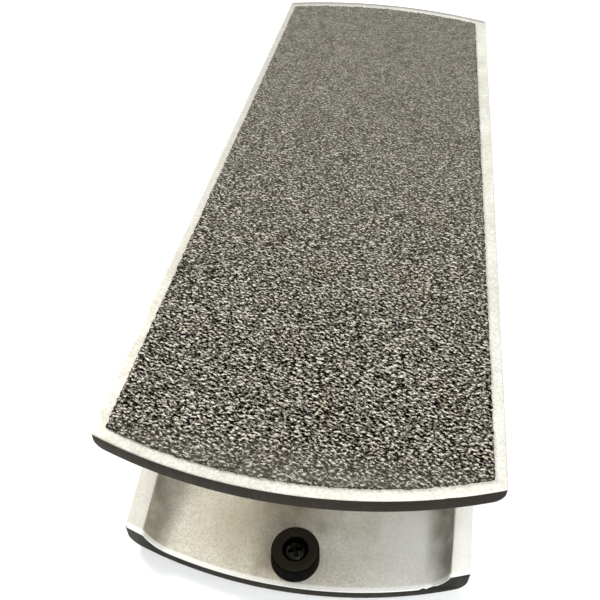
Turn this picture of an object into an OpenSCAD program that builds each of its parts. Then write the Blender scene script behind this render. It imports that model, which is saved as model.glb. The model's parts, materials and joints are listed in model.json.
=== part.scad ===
// Rocking-treadle volume pedal: an aluminium channel base, a treadle on a cross shaft,
// and a potentiometer that a cord under the treadle turns.
// +Y points to the toe end and +Z up. The origin is on the floor, under the middle of the base.

/* [Overall] */
// Length over both curved ends
pedal_length = 254; // [244:1:264]
// Radius of the curved ends in plan
end_radius = 122; // [116:1:126]
// Angle of the treadle as drawn: negative is toe down, positive is heel down
rest_tilt = -2.55; // [-8:0.05:8]

/* [Base] */
// Width over the side walls
base_width = 83.4; // [82:0.1:85]
// Thickness of the channel's floor
floor_thickness = 3.2; // [2.8:0.1:3.6]
// Thickness of the side walls
wall_thickness = 4.5; // [4:0.1:5]
// Height of the walls where they meet the curved ends, above the channel's underside
wall_end_height = 7; // [6:0.1:8]
// Height of the walls at the pivot, above the channel's underside
wall_peak_height = 31; // [30.5:0.1:31.5]
// Radius inside, between floor and wall
inner_fillet = 6.5; // [5:0.5:7]
// Radius outside, along the bottom edges
outer_edge = 3; // [1:0.5:4]
// Thickness of the adhesive rubber feet
foot_thickness = 1; // [0.6:0.1:1.4]

/* [Treadle] */
// Width of the foot plate
treadle_width = 86.5; // [86:0.5:92]
// Thickness of the foot plate
plate_thickness = 4.1; // [3.5:0.1:4.5]
// Bare metal rim round the grip sheet
grip_margin = 2.6; // [2:0.1:6]
// Bare rim past the grip sheet's toe end, which is cut shorter
grip_toe_margin = 6.3; // [6:0.1:8]
// What the hand-cut grip sheet loses in width towards the toe, along its right side
grip_taper = 2.4; // [0:0.1:4]
// Thickness of the grip sheet
grip_thickness = 1; // [0.6:0.1:1.4]

/* [Pivot] */
// Diameter of the cross shaft
shaft_diameter = 6.35; // [6:0.05:6.5]
// Height of the shaft's axis above the channel's underside
pivot_height = 27; // [26.6:0.1:27.2]
// Distance from the shaft's axis up to the plate's underside
plate_lift = 7.6; // [7.4:0.1:7.8]

/* [Bumpers] */
// Diameter of the rubber stops
bumper_diameter = 11.8; // [10:0.1:12]
// Height of the rubber stops
bumper_height = 5.5; // [4.5:0.1:5.6]
// Distance of each stop from the middle of the pedal
bumper_offset = 120; // [118:0.5:120]

/* [Jacks] */
// Distance of the jacks from the middle, towards the toe
jack_offset = 55; // [52:1:57]
// Height of the jacks' axis above the channel's underside
jack_height = 12; // [11.8:0.1:12.2]
// Diameter of the socket for a 6.35 mm plug
jack_bore = 6.5; // [6.4:0.05:6.6]

/* [Hidden] */
$fn = 64;

// Heights of the drawing: the channel's underside, its floor, and the pivot and jack axes
base_z = foot_thickness;
floor_z = base_z + floor_thickness;
pivot_z = base_z + pivot_height;
jack_z = base_z + jack_height;
half_length = pedal_length / 2;
end_centre = half_length - end_radius;
half_base = base_width / 2;
inner_wall = half_base - wall_thickness;
shaft_r = shaft_diameter / 2;

// The walls rise in a straight ramp from the curved ends to a short flat at the pivot
ramp_foot = end_centre + sqrt(pow(end_radius, 2) - pow(half_base, 2));
ramp_top = 10;
ramp_slope = (wall_peak_height - wall_end_height) / (ramp_foot - ramp_top);

// The treadle's two ribs, which carry the bushings
rib_outer = 34;
rib_thickness = 4;
rib_reach = 38;
boss_r = 8.5;
bushing_r = 4.75;
bushing_flange_r = 6.5;
bushing_flange = 1.2;
side_play = 0.1;
shaft_fit = 0.025;
bushing_fit = 0.05;

// The shaft's ends, with a groove for each clip
shaft_proud = 2;
clip_gap = 0.5;
clip_thickness = 0.8;
clip_r = 5.5;
groove_r = 2.4;

// Cross-head screws of the stops
stop_head_r = 2.8;
stop_head_height = 1.6;
stop_thread_r = 1.4;
stop_recess_r = 3;
stop_recess_depth = 2.4;

// Potentiometer, on a bracket across the pedal, with its axis under the pivot shaft
pot_z = base_z + 12;
pot_r = 8.25;
pot_wall = 0.5;
bracket_x = -6;
bracket_thickness = 1.5;
bracket_half_width = 9;
bracket_rise = 8.5;
bracket_foot_end = 12;
bracket_screw_x = 7;
bracket_screw_y = 6;
bush_thread_r = 3.5;
bush_length = 7;
pot_front_thickness = 1.5;
pot_can_length = 7;
pot_shaft_r = 3;
pot_play = 0.04;
wafer_thickness = 1.5;
terminal_pitch = 5;

// The drum on the pot's shaft, and the cord that turns it
drum_x = 1.5;
drum_sleeve_r = 4.5;
drum_sleeve_length = 4.5;
drum_core_r = 1.5;
drum_core_length = 4;
drum_flange_r = 3.5;
drum_flange = 1;
cord_r = 0.4;
cord_x = drum_x + drum_sleeve_length + drum_core_length / 2;
cord_turn_pitch = 0.72;
cord_loop_r = drum_core_r + cord_r;
cord_clear = 2.1;
post_reach = 62;
post_thread_r = 1.2;
post_flange = 0.3;
post_neck = 4.3;
post_drop = 2.4;

// Extension spring between the cord and the toe post
spring_wire_r = 0.3;
spring_r = 2;
spring_turns = 16;
spring_pitch = 0.8;
spring_ring_r = 1.9;
spring_lead = 1.9;
spring_sides = 6;
spring_steps = 12;

// Taper board, in the heel bay
board_x = -20;
board_y = -43;
board_size = [20, 16, 1.6];
standoff_height = 3.8;
standoff_spread = 6.5;
switch_size = [4.4, 8.6, 4.2];
switch_travel = 2;

// Open-frame jack
jack_plate = 1;
jack_thread_r = 4.75;
jack_hole_r = 4.85;
jack_proud = 3.3;
jack_washer_thickness = 0.8;
jack_nut_flats = 12.7;
jack_nut_thickness = 2.2;
jack_frame_half = 7.5;
jack_foot = 6;
jack_arm_length = 15;
jack_arm_half = 4;
jack_arm_z = floor_z + 0.8;
jack_seat = 8;
jack_stack_in = 10.5;
contact_thickness = 0.5;
insulator_thickness = 1;

// Hook-up wire and its routes, each a list of points
wire_r = 0.7;
wire_sides = 8;
input_route = [
    [26.7, 49.5, 8.3], [26.5, 46, 8.2], [25, 41, 6.4], [20, 35, 5.2], [11, 29, 5.1], [2, 25, 5.6],
    [-4, 22.5, 9], [-7.5, 20.5, 14], [-9, 18, 17.4], [-9.25, 13.4, 18.7]
];
output_route = [
    [-26.7, 49.5, 8.3], [-26.5, 46, 8.2], [-26, 40, 6.2], [-22.5, 32, 5.2], [-17, 26, 6], [-12.5, 22, 9.4],
    [-10, 19, 12.6], [-9.25, 13.4, 13]
];
ground_link_route = [
    [31, 61, 6.9], [27, 64.5, 6.6], [20, 67.5, 5.3], [8, 69.5, 5.1], [-8, 69.5, 5.1], [-20, 67.5, 5.3],
    [-27, 64.5, 6.6], [-31, 61, 6.9]
];
ground_route = [
    [-31, 49, 6.9], [-31.5, 44, 6.2], [-30, 36, 5.2], [-25, 27, 5.1], [-18, 20.5, 5.3], [-12.5, 17.5, 7],
    [-9.25, 13.4, 8]
];
taper_route = [
    [-14, -37, 10.4], [-14.5, -33, 9.8], [-17, -27, 6], [-18.5, -18, 5.1], [-18.5, -6, 5.1],
    [-18, 5, 5.2], [-15.5, 13, 8], [-12, 17, 12], [-10.5, 17.5, 15.4], [-9.25, 13.4, 17.2]
];

// ---- Functions ----

// A point [y, z] turned by angle a about [0, 0]
function turned(p, a) = [p[0] * cos(a) - p[1] * sin(a), p[0] * sin(a) + p[1] * cos(a)];

// A point [y, z] of the level treadle, measured from the pivot, as it lies in the drawing
function on_treadle(p) = turned(p, rest_tilt) + [0, pivot_z];

// Where a line from point p touches a circle of radius r about [0, 0], on the side given by s
function touch(p, r, s) = r * [
    cos(atan2(p[1], p[0]) + s * acos(r / norm(p))),
    sin(atan2(p[1], p[0]) + s * acos(r / norm(p)))
];

// Unit vector of v
function unit(v) = v / norm(v);

// Direction of a path at point i
function heading(path, i) = unit(path[min(i + 1, len(path) - 1)] - path[max(i - 1, 0)]);

// Corners of the ring round point i of a path, for a tube of radius r
function ring(path, i, r, sides) =
    let (
        d = heading(path, i),
        side = unit(abs(d[2]) < 0.9 ? cross(d, [0, 0, 1]) : cross(d, [1, 0, 0])),
        up = cross(side, d)
    )
    [for (k = [0:sides - 1]) path[i] + r * (cos(360 * k / sides) * side + sin(360 * k / sides) * up)];

// Point of a smooth curve through a route, at share t of the stretch that starts at point i
function smooth(route, i, t) =
    let (
        a = route[max(i - 1, 0)], b = route[i],
        c = route[i + 1], d = route[min(i + 2, len(route) - 1)]
    )
    0.5 * (2 * b + (c - a) * t + (2 * a - 5 * b + 4 * c - d) * t * t + (3 * b - a - 3 * c + d) * t * t * t);

// A route with steps points in each of its stretches
function smoothed(route, steps) = concat(
    [for (i = [0:len(route) - 2]) for (k = [0:steps - 1]) smooth(route, i, k / steps)],
    [route[len(route) - 1]]
);

// ---- Shared shapes ----

// A closed tube of radius r along a path
module tube(path, r, sides) {
    n = len(path);
    points = [for (i = [0:n - 1]) each ring(path, i, r, sides)];
    walls = [
        for (i = [0:n - 2]) for (k = [0:sides - 1]) each [
            [i * sides + k, (i + 1) * sides + k, (i + 1) * sides + (k + 1) % sides],
            [i * sides + k, (i + 1) * sides + (k + 1) % sides, i * sides + (k + 1) % sides]
        ]
    ];
    caps = [[for (k = [0:sides - 1]) k], [for (k = [sides - 1:-1:0]) (n - 1) * sides + k]];
    polyhedron(points, concat(walls, caps), convexity = 10);
}

// A rectangle of width w and height h standing on Y = 0, with rounded bottom corners
module round_bottom(w, h, r) {
    intersection() {
        union() {
            translate([-w / 2, r]) square([w, h]);
            translate([-w / 2 + r, 0]) square([w - 2 * r, h]);
            for (s = [-1, 1]) translate([s * (w / 2 - r), r]) circle(r);
        }
        translate([-w / 2, 0]) square([w, h]);
    }
}

// Plan of both curved ends: two circles that overlap over the whole width of the pedal
module end_arcs(r) {
    for (s = [-1, 1]) translate([0, s * end_centre]) circle(r, $fn = 180);
}

// A 2D outline in Y and Z, drawn as a slab from x to x + t
module slab(x, t) {
    translate([x, 0, 0]) rotate([90, 0, 90]) linear_extrude(t) children();
}

// A cylinder along X from x1 to x2
module along_x(x1, x2, r, sides = $fn) {
    translate([x1, 0, 0]) rotate([0, 90, 0]) cylinder(h = x2 - x1, r = r, $fn = sides);
}

// A cylinder of radius r between two points [y, z] at one x
module strut(x, a, b, r) {
    translate([x, a[0], a[1]])
        rotate([atan2(b[1] - a[1], b[0] - a[0]), 0, 0])
            rotate([-90, 0, 0]) cylinder(h = norm(b - a), r = r, $fn = 24);
}

// What rides on the treadle, drawn level about the pivot
module tilted() {
    translate([0, 0, pivot_z]) rotate([rest_tilt, 0, 0]) children();
}

// Cross recess of a screw head, cut downward from Z = 0
module cross_recess(r, depth) {
    for (a = [0, 90]) rotate(a) translate([-r, -r / 4, -depth]) cube([2 * r, r / 2, depth + 1]);
}

// Pan-head cross screw: its head stands on Z = 0 and its thread runs down
module pan_screw(head_r, head_h, thread_r, thread_l) {
    difference() {
        rotate_extrude() {
            square([head_r, head_h * 0.45]);
            square([head_r * 0.72, head_h]);
            translate([0, head_h * 0.45]) intersection() {
                scale([head_r, head_h * 0.55]) circle(1);
                square([head_r, head_h]);
            }
        }
        translate([0, 0, head_h]) cross_recess(head_r * 0.5, head_h * 0.6);
    }
    translate([0, 0, -thread_l]) cylinder(h = thread_l, r = thread_r);
}

// ---- Base ----

module base_section() {
    difference() {
        round_bottom(base_width, wall_peak_height, outer_edge);
        translate([0, floor_thickness]) round_bottom(2 * inner_wall, wall_peak_height, inner_fillet);
    }
}

// Side view of the channel: low at the ends, with a ramp up to the pivot
module base_profile() {
    end_top = wall_end_height - ramp_slope * (half_length - ramp_foot);
    polygon([
        [-half_length, 0], [half_length, 0], [half_length, end_top], [ramp_top, wall_peak_height],
        [-ramp_top, wall_peak_height], [-half_length, end_top]
    ]);
}

module base_channel() {
    color("silver")
    difference() {
        translate([0, 0, base_z]) intersection() {
            rotate([90, 0, 0]) linear_extrude(pedal_length + 2, center = true) base_section();
            slab(-half_base, base_width) base_profile();
            linear_extrude(wall_peak_height) end_arcs(end_radius);
        }
        translate([0, 0, pivot_z]) along_x(-half_base - 1, half_base + 1, shaft_r + shaft_fit);
        for (s = [-1, 1]) {
            translate([s * (half_base - wall_thickness / 2), jack_offset, jack_z])
                along_x(-wall_thickness, wall_thickness, jack_hole_r);
            translate([s * (inner_wall - jack_seat / 2), jack_offset, jack_arm_z - 0.1 + jack_z / 2])
                cube([jack_seat, 2 * jack_frame_half + 1, jack_z], center = true);
            translate([0, s * bumper_offset, base_z - 1]) cylinder(h = 10, r = stop_thread_r + 0.02);
            translate([bracket_screw_x, s * bracket_screw_y, base_z]) {
                translate([0, 0, -1]) cylinder(h = 10, r = 1.6);
                translate([0, 0, -0.01]) cylinder(h = 1.6, r1 = 3, r2 = 1.6);
            }
            translate([board_x, board_y + s * standoff_spread, base_z - 1]) cylinder(h = 10, r = 1.1);
        }
    }
}

// Four self-adhesive pads
module base_feet() {
    color("dimgray")
    for (x = [-30, 30]) for (y = [-88, 88]) translate([x, y, 0]) cylinder(h = foot_thickness, r = 7);
}

// A rubber stop with a sunk seat for its screw
module bumper() {
    r = bumper_diameter / 2;
    edge = 1.1;
    color([0.13, 0.12, 0.11])
    difference() {
        rotate_extrude() {
            square([r - edge, bumper_height]);
            square([r, bumper_height - edge]);
            translate([r - edge, bumper_height - edge]) circle(edge);
        }
        translate([0, 0, -1]) cylinder(h = bumper_height + 2, r = stop_thread_r + 0.1);
        translate([0, 0, bumper_height - stop_recess_depth]) cylinder(h = 10, r = stop_recess_r);
    }
}

module heel_bumper() { translate([0, -bumper_offset, floor_z]) bumper(); }
module toe_bumper() { translate([0, bumper_offset, floor_z]) bumper(); }

module bumper_screw() {
    seat = bumper_height - stop_recess_depth;
    color([0.1, 0.1, 0.1])
    translate([0, 0, floor_z + seat])
        pan_screw(stop_head_r, stop_head_height, stop_thread_r, seat + floor_thickness - 0.3);
}

module heel_bumper_screw() { translate([0, -bumper_offset, 0]) rotate(20) bumper_screw(); }
module toe_bumper_screw() { translate([0, bumper_offset, 0]) rotate(65) bumper_screw(); }

// ---- Pivot ----

clip_x = half_base + clip_gap;

module pivot_shaft() {
    end = half_base + shaft_proud;
    color("gainsboro")
    translate([0, 0, pivot_z]) {
        along_x(-end, end, groove_r);
        along_x(-clip_x, clip_x, shaft_r);
        for (s = [-1, 1]) translate([s * (clip_x + clip_thickness + end) / 2, 0, 0])
            along_x(-(end - clip_x - clip_thickness) / 2, (end - clip_x - clip_thickness) / 2, shaft_r);
    }
}

// E-shaped retaining clip in the groove at one end of the shaft
module shaft_clip() {
    tongue = 1.6;
    color("slategray")
    translate([clip_x, 0, pivot_z]) slab(0, clip_thickness) difference() {
        circle(clip_r);
        difference() {
            circle(clip_r - 1.6);
            for (a = [0, 90, 180]) rotate(a) translate([groove_r, -tongue / 2]) square([clip_r, tongue]);
            circle(groove_r + 0.6);
        }
        circle(groove_r + 0.02);
        translate([-groove_r * 0.8, -clip_r - 1]) square([groove_r * 1.6, clip_r + 1]);
    }
}

module right_shaft_clip() { shaft_clip(); }
module left_shaft_clip() { mirror([1, 0, 0]) shaft_clip(); }

// Nylon washer between a bushing's flange and the base wall
module spacer() {
    x1 = rib_outer + bushing_flange + side_play;
    color("ivory")
    translate([0, 0, pivot_z]) difference() {
        along_x(x1, inner_wall - side_play, 6);
        along_x(x1 - 1, inner_wall + 1, shaft_r + 0.08);
    }
}

module right_spacer() { spacer(); }
module left_spacer() { mirror([1, 0, 0]) spacer(); }

// ---- Jacks, drawn for the right side ----

jack_in = inner_wall - jack_plate;
jack_out = half_base + jack_proud;
stack_x = inner_wall - jack_stack_in;
contact_z = jack_arm_z + jack_plate + insulator_thickness;

module jack_frame() {
    color("lightgray")
    translate([0, jack_offset, 0]) difference() {
        union() {
            translate([0, 0, jack_z]) along_x(inner_wall - 0.1, jack_out, jack_thread_r);
            translate([jack_in, -jack_frame_half, jack_arm_z])
                cube([jack_plate, 2 * jack_frame_half, jack_z + jack_frame_half - jack_arm_z]);
            translate([inner_wall - jack_arm_length, -jack_arm_half, jack_arm_z])
                cube([jack_arm_length, 2 * jack_arm_half, jack_plate]);
            translate([jack_in - jack_foot, -jack_frame_half, jack_arm_z])
                cube([jack_foot + jack_plate / 2, 2 * jack_frame_half, jack_plate]);
        }
        translate([0, 0, jack_z]) along_x(jack_in - 1, jack_out + 1, jack_bore / 2);
        translate([stack_x, 0, jack_arm_z - 1]) cylinder(h = 3, r = 1.3);
    }
}

// Tip contact: a leaf in the insulated stack, which rises to where the plug's tip will be
module jack_contact() {
    t = contact_thickness;
    tip = stack_x - 14;
    rise = jack_z - 2.6 - contact_z;
    color("goldenrod")
    translate([0, jack_offset + 2, contact_z]) difference() {
        union() {
            rotate([90, 0, 0]) linear_extrude(4) polygon([
                [stack_x + 3, 0], [stack_x + 3, t], [stack_x - 4, t], [tip + 4, rise],
                [tip + 2, rise], [tip, rise - 1.4], [tip, rise - 2], [tip + 2, rise - t],
                [tip + 3.6, rise - t], [stack_x - 4, 0]
            ]);
            translate([stack_x - 1.2, -9, 0]) cube([2.4, 6, t]);
        }
        translate([stack_x, -2, -1]) cylinder(h = 3, r = 1.3);
    }
}

// Two insulating washers, one under and one over the contact, on a rivet
module jack_insulators() {
    color("saddlebrown")
    translate([stack_x, jack_offset, 0]) {
        for (z = [contact_z - insulator_thickness, contact_z + contact_thickness]) translate([0, 0, z])
            difference() {
                cylinder(h = insulator_thickness, r = 3.2);
                translate([0, 0, -1]) cylinder(h = 3, r = 1.3);
            }
        translate([0, 0, jack_arm_z - 0.5]) cylinder(h = 0.5, r = 2);
        translate([0, 0, jack_arm_z - 0.1]) cylinder(h = contact_z - jack_arm_z + 2, r = 1.2);
        translate([0, 0, contact_z + contact_thickness + insulator_thickness]) cylinder(h = 0.5, r = 2);
    }
}

module jack_washer() {
    color("silver")
    translate([0, jack_offset, jack_z]) difference() {
        along_x(half_base, half_base + jack_washer_thickness, 7);
        along_x(half_base - 1, half_base + 2, jack_hole_r);
    }
}

module jack_nut() {
    x1 = half_base + jack_washer_thickness;
    corner = jack_nut_flats / 2 / cos(30);
    color("silver")
    translate([0, jack_offset, jack_z]) difference() {
        along_x(x1, x1 + jack_nut_thickness, corner, 6);
        along_x(x1 - 1, x1 + jack_nut_thickness + 1, jack_thread_r + 0.02);
    }
}

module input_jack_frame() { jack_frame(); }
module input_jack_contact() { jack_contact(); }
module input_jack_insulators() { jack_insulators(); }
module input_jack_washer() { jack_washer(); }
module input_jack_nut() { jack_nut(); }
module output_jack_frame() { mirror([1, 0, 0]) jack_frame(); }
module output_jack_contact() { mirror([1, 0, 0]) jack_contact(); }
module output_jack_insulators() { mirror([1, 0, 0]) jack_insulators(); }
module output_jack_washer() { mirror([1, 0, 0]) jack_washer(); }
module output_jack_nut() { mirror([1, 0, 0]) jack_nut(); }

// ---- Potentiometer ----

module pot_bracket() {
    rise_z = pot_z + bracket_rise - floor_z;
    color("darkgray")
    difference() {
        translate([0, 0, floor_z]) union() {
            slab(bracket_x, bracket_thickness) intersection() {
                translate([-bracket_half_width, 0]) square([2 * bracket_half_width, rise_z]);
                translate([0, pot_z - floor_z]) circle(bracket_half_width + 2.6);
            }
            translate([bracket_x, -bracket_half_width, 0])
                cube([bracket_foot_end - bracket_x, 2 * bracket_half_width, bracket_thickness]);
        }
        translate([0, 0, pot_z]) along_x(bracket_x - 1, bracket_x + 3, bush_thread_r + 0.1);
        for (s = [-1, 1]) translate([bracket_screw_x, s * bracket_screw_y, floor_z - 1])
            cylinder(h = 5, r = 1.27);
    }
}

// Two countersunk screws from below
module bracket_screws() {
    color("gray")
    for (s = [-1, 1]) translate([bracket_screw_x, s * bracket_screw_y, base_z]) difference() {
        union() {
            cylinder(h = 1.5, r1 = 2.9, r2 = 1.25);
            cylinder(h = floor_thickness + bracket_thickness + 0.8, r = 1.25);
        }
        mirror([0, 0, 1]) cross_recess(1.4, 0.9);
    }
}

module pot_front() {
    color("gainsboro")
    translate([0, 0, pot_z]) difference() {
        union() {
            along_x(bracket_x - pot_front_thickness, bracket_x, pot_r);
            along_x(bracket_x - 0.1, bracket_x + bush_length, bush_thread_r);
        }
        along_x(bracket_x - 5, bracket_x + bush_length + 1, pot_shaft_r + pot_play);
    }
}

can_x = bracket_x - pot_front_thickness;
wafer_x = can_x - 1 - wafer_thickness;

// Closed cup with a slot where the terminals come out
module pot_can() {
    color("silver")
    translate([0, 0, pot_z]) difference() {
        along_x(can_x - pot_can_length, can_x, pot_r);
        along_x(can_x - pot_can_length + pot_wall, can_x + 1, pot_r - pot_wall);
        translate([wafer_x - 0.2, 0, -terminal_pitch - 2])
            cube([can_x - wafer_x + 1, pot_r + 1, 2 * terminal_pitch + 4]);
    }
}

// Resistance wafer, with a tongue for the terminals
module pot_wafer() {
    color("peru")
    translate([0, 0, pot_z]) difference() {
        union() {
            along_x(wafer_x, wafer_x + wafer_thickness, pot_r - pot_wall - 0.2);
            translate([wafer_x, 0, -terminal_pitch - 1.8])
                cube([wafer_thickness, pot_r + 1.5, 2 * terminal_pitch + 3.6]);
        }
        along_x(wafer_x - 1, wafer_x + 3, pot_shaft_r + 0.3);
    }
}

module pot_terminals() {
    x = wafer_x + wafer_thickness;
    color("khaki")
    for (k = [-1:1]) translate([x, pot_r - 2, pot_z + k * terminal_pitch]) difference() {
        translate([0, 0, -0.9]) cube([0.5, 8.6, 1.8]);
        translate([-1, 6.9, 0]) along_x(0, 3, 0.5);
    }
}

module pot_washer() {
    x1 = bracket_x + bracket_thickness;
    color("lightgray")
    translate([0, 0, pot_z]) difference() {
        along_x(x1, x1 + 0.5, 5.6);
        along_x(x1 - 1, x1 + 2, bush_thread_r + 0.1);
    }
}

module pot_nut() {
    x1 = bracket_x + bracket_thickness + 0.5;
    color("gainsboro")
    translate([0, 0, pot_z]) difference() {
        along_x(x1, x1 + 2, 5 / cos(30), 6);
        along_x(x1 - 1, x1 + 3, bush_thread_r + 0.02);
    }
}

rotor_x = wafer_x - 1.4;

// Shaft with the flat that the drum's screw bears on
module pot_shaft() {
    end = drum_x + drum_sleeve_length - 0.1;
    color("white")
    translate([0, 0, pot_z]) difference() {
        along_x(rotor_x, end, pot_shaft_r);
        translate([drum_x, -pot_shaft_r, pot_shaft_r - 0.8]) cube([end, 2 * pot_shaft_r, 2]);
    }
}

// Disc inside the can that carries the wiper's two brushes
module pot_rotor() {
    color("tan")
    translate([0, 0, pot_z]) {
        difference() {
            along_x(rotor_x, rotor_x + 1, 6.4);
            along_x(rotor_x - 1, rotor_x + 3, pot_shaft_r + 0.01);
        }
        for (s = [-1, 1]) translate([rotor_x + 0.9, s * 5 - 0.4, -1.5]) cube([0.4, 0.8, 3]);
    }
}

// ---- Drum and cord ----

module cord_drum() {
    sleeve_end = drum_x + drum_sleeve_length;
    core_end = sleeve_end + drum_core_length;
    color("darkgoldenrod")
    translate([0, 0, pot_z]) difference() {
        union() {
            along_x(drum_x, sleeve_end, drum_sleeve_r);
            along_x(sleeve_end - 0.1, core_end + 0.1, drum_core_r);
            along_x(core_end, core_end + drum_flange, drum_flange_r);
        }
        along_x(drum_x - 1, sleeve_end - 0.1, pot_shaft_r + 0.01);
        translate([drum_x + 2, 0, 0]) cylinder(h = 10, r = 1);
    }
}

module drum_set_screw() {
    color("black")
    translate([drum_x + 2, 0, pot_z + pot_shaft_r - 0.8]) difference() {
        cylinder(h = 2.2, r = 0.98);
        translate([0, 0, 1.2]) cylinder(h = 2, r = 0.5, $fn = 6);
    }
}

// The turns of the cord round the drum's core
module cord_turns() {
    color("khaki")
    translate([cord_x, 0, pot_z]) rotate([0, 90, 0]) rotate_extrude()
        for (k = [-1:1]) translate([cord_loop_r, k * cord_turn_pitch]) circle(cord_r);
}

// Where each run leaves the drum: the lowest side, on a line to its post
heel_end = on_treadle([-post_reach, plate_lift - post_drop]);
toe_end = on_treadle([post_reach, plate_lift - post_drop]);
drum_centre = [0, pot_z];
heel_leave = drum_centre + touch(heel_end - drum_centre, cord_loop_r, 1);
toe_leave = drum_centre + touch(toe_end - drum_centre, cord_loop_r, -1);
heel_way = unit(heel_end - heel_leave);
toe_way = unit(toe_end - toe_leave);
spring_length = spring_turns * spring_pitch;
spring_span = spring_length + 2 * (spring_lead + spring_ring_r);
spring_near = toe_end - spring_span * toe_way;

module cord_heel_run() {
    color("khaki")
    strut(cord_x - cord_turn_pitch, heel_leave + cord_clear * heel_way, heel_end - 1.75 * heel_way, cord_r);
}

module cord_toe_run() {
    color("khaki")
    strut(cord_x + cord_turn_pitch, toe_leave + cord_clear * toe_way, spring_near - 2.7 * toe_way, cord_r);
}

// Points of the spring along its own axis, from the centre of its near ring to that of its far ring
spring_path = concat(
    [for (a = [330:-30:90]) spring_ring_r * [cos(a), sin(a), 0]],
    [
        for (k = [0:spring_turns * spring_steps])
            let (
                a = 360 * k / spring_steps,
                w = spring_r * min(1, k / 6, (spring_turns * spring_steps - k) / 6)
            )
            [w * sin(a), spring_ring_r + spring_lead + spring_pitch * k / spring_steps, w * cos(a)]
    ],
    [for (a = [-90:30:150]) [0, spring_span, 0] + spring_ring_r * [cos(a), sin(a), 0]]
);

module tension_spring() {
    color("lightsteelblue")
    translate([cord_x + cord_turn_pitch, spring_near[0], spring_near[1]])
        rotate([atan2(toe_way[1], toe_way[0]), 0, 0]) tube(spring_path, spring_wire_r, spring_sides);
}

// Shouldered screw that the cord or the spring hangs from, threaded up into the plate
module cord_post() {
    color("silver")
    translate([0, 0, plate_lift]) mirror([0, 0, 1]) difference() {
        union() {
            translate([0, 0, -2.7]) cylinder(h = 3, r = post_thread_r);
            cylinder(h = post_flange, r = 3);
            cylinder(h = post_neck, r = 1.3);
            translate([0, 0, post_neck]) cylinder(h = 1.2, r = 2.6);
        }
        translate([0, 0, post_neck + 1.2]) cross_recess(1.4, 0.8);
    }
}

module heel_cord_post() { tilted() translate([cord_x - cord_turn_pitch, -post_reach, 0]) cord_post(); }
module toe_spring_post() { tilted() translate([cord_x + cord_turn_pitch, post_reach, 0]) cord_post(); }

// ---- Taper board ----

board_z = floor_z + standoff_height;
board_top = board_z + board_size[2];

module taper_board() {
    color("darkgreen")
    translate([board_x, board_y, board_z]) difference() {
        translate([-board_size[0] / 2 + 4, -board_size[1] / 2, 0]) cube(board_size);
        for (s = [-1, 1]) translate([0, s * standoff_spread, -1]) cylinder(h = 4, r = 1.15);
    }
}

module board_standoffs() {
    color("ivory")
    for (s = [-1, 1]) translate([board_x, board_y + s * standoff_spread, floor_z]) difference() {
        cylinder(h = standoff_height, r = 2.2);
        translate([0, 0, -1]) cylinder(h = standoff_height + 2, r = 1.15);
    }
}

module board_screws() {
    color("gray")
    for (s = [-1, 1]) translate([board_x, board_y + s * standoff_spread, board_top])
        pan_screw(1.9, 1.2, 1.08, board_top - base_z - 0.4);
}

switch_x = board_x + 7;

module taper_switch_body() {
    color("gray")
    translate([switch_x, board_y, board_top]) difference() {
        translate([-switch_size[0] / 2, -switch_size[1] / 2, 0]) cube(switch_size);
        translate([-0.9, -switch_travel / 2 - 1.1, switch_size[2] - 1.4])
            cube([1.8, switch_travel + 2.2, 3]);
    }
}

// The lever, at the heel end of its slot
module taper_switch_lever() {
    color("black")
    translate([switch_x, board_y - switch_travel / 2, board_top + switch_size[2] - 1.3])
        translate([-0.8, -1, 0]) cube([1.6, 2, 3.2]);
}

// ---- Wiring ----

module wire(route) { tube(smoothed(route, 3), wire_r, wire_sides); }

module input_wire() { color("firebrick") wire(input_route); }
module output_wire() { color("gold") wire(output_route); }
module ground_link_wire() { color("darkslategray") wire(ground_link_route); }
module ground_wire() { color("darkslategray") wire(ground_route); }
module taper_wire() { color("royalblue") wire(taper_route); }

// ---- Treadle ----

// Side view of a rib, with the boss round the pivot
module rib_profile() {
    boss = touch([rib_reach, plate_lift], boss_r, -1);
    polygon([
        [-rib_reach, plate_lift], [-boss[0], boss[1]], [boss[0], boss[1]],
        [rib_reach, plate_lift], [rib_reach, plate_lift + 1], [-rib_reach, plate_lift + 1]
    ]);
    circle(boss_r);
}

module treadle() {
    lower_edge = 2.4;
    color("silver")
    tilted() difference() {
        union() {
            intersection() {
                translate([0, 0, plate_lift]) rotate([90, 0, 0])
                    linear_extrude(pedal_length + 2, center = true)
                        round_bottom(treadle_width, plate_thickness, lower_edge);
                linear_extrude(3 * plate_lift) end_arcs(end_radius);
            }
            for (x = [-rib_outer, rib_outer - rib_thickness]) slab(x, rib_thickness) rib_profile();
        }
        for (s = [-1, 1]) {
            translate([s * (rib_outer - rib_thickness / 2), 0, 0])
                along_x(-rib_thickness, rib_thickness, bushing_r + 0.01);
            translate([cord_x + s * cord_turn_pitch, s * post_reach, plate_lift - 1])
                cylinder(h = 3.8, r = post_thread_r);
        }
    }
}

module grip_sheet() {
    half = treadle_width / 2 - grip_margin;
    color([0.25, 0.25, 0.24])
    tilted() translate([0, 0, plate_lift + plate_thickness]) linear_extrude(grip_thickness) intersection() {
        end_arcs(end_radius - grip_margin);
        translate([0, grip_margin - grip_toe_margin]) end_arcs(end_radius - grip_margin);
        polygon([
            [-half, -half_length], [half, -half_length],
            [half - grip_taper, half_length], [-half, half_length]
        ]);
    }
}

// Flanged sleeve bearing pressed into a rib from outside
module bushing() {
    color("sienna")
    tilted() difference() {
        union() {
            along_x(rib_outer - rib_thickness, rib_outer + 0.1, bushing_r);
            along_x(rib_outer, rib_outer + bushing_flange, bushing_flange_r);
        }
        along_x(rib_outer - rib_thickness - 1, rib_outer + bushing_flange + 1, shaft_r + bushing_fit);
    }
}

module right_bushing() { bushing(); }
module left_bushing() { mirror([1, 0, 0]) bushing(); }

// ---- Output, one line for each node ----

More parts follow.
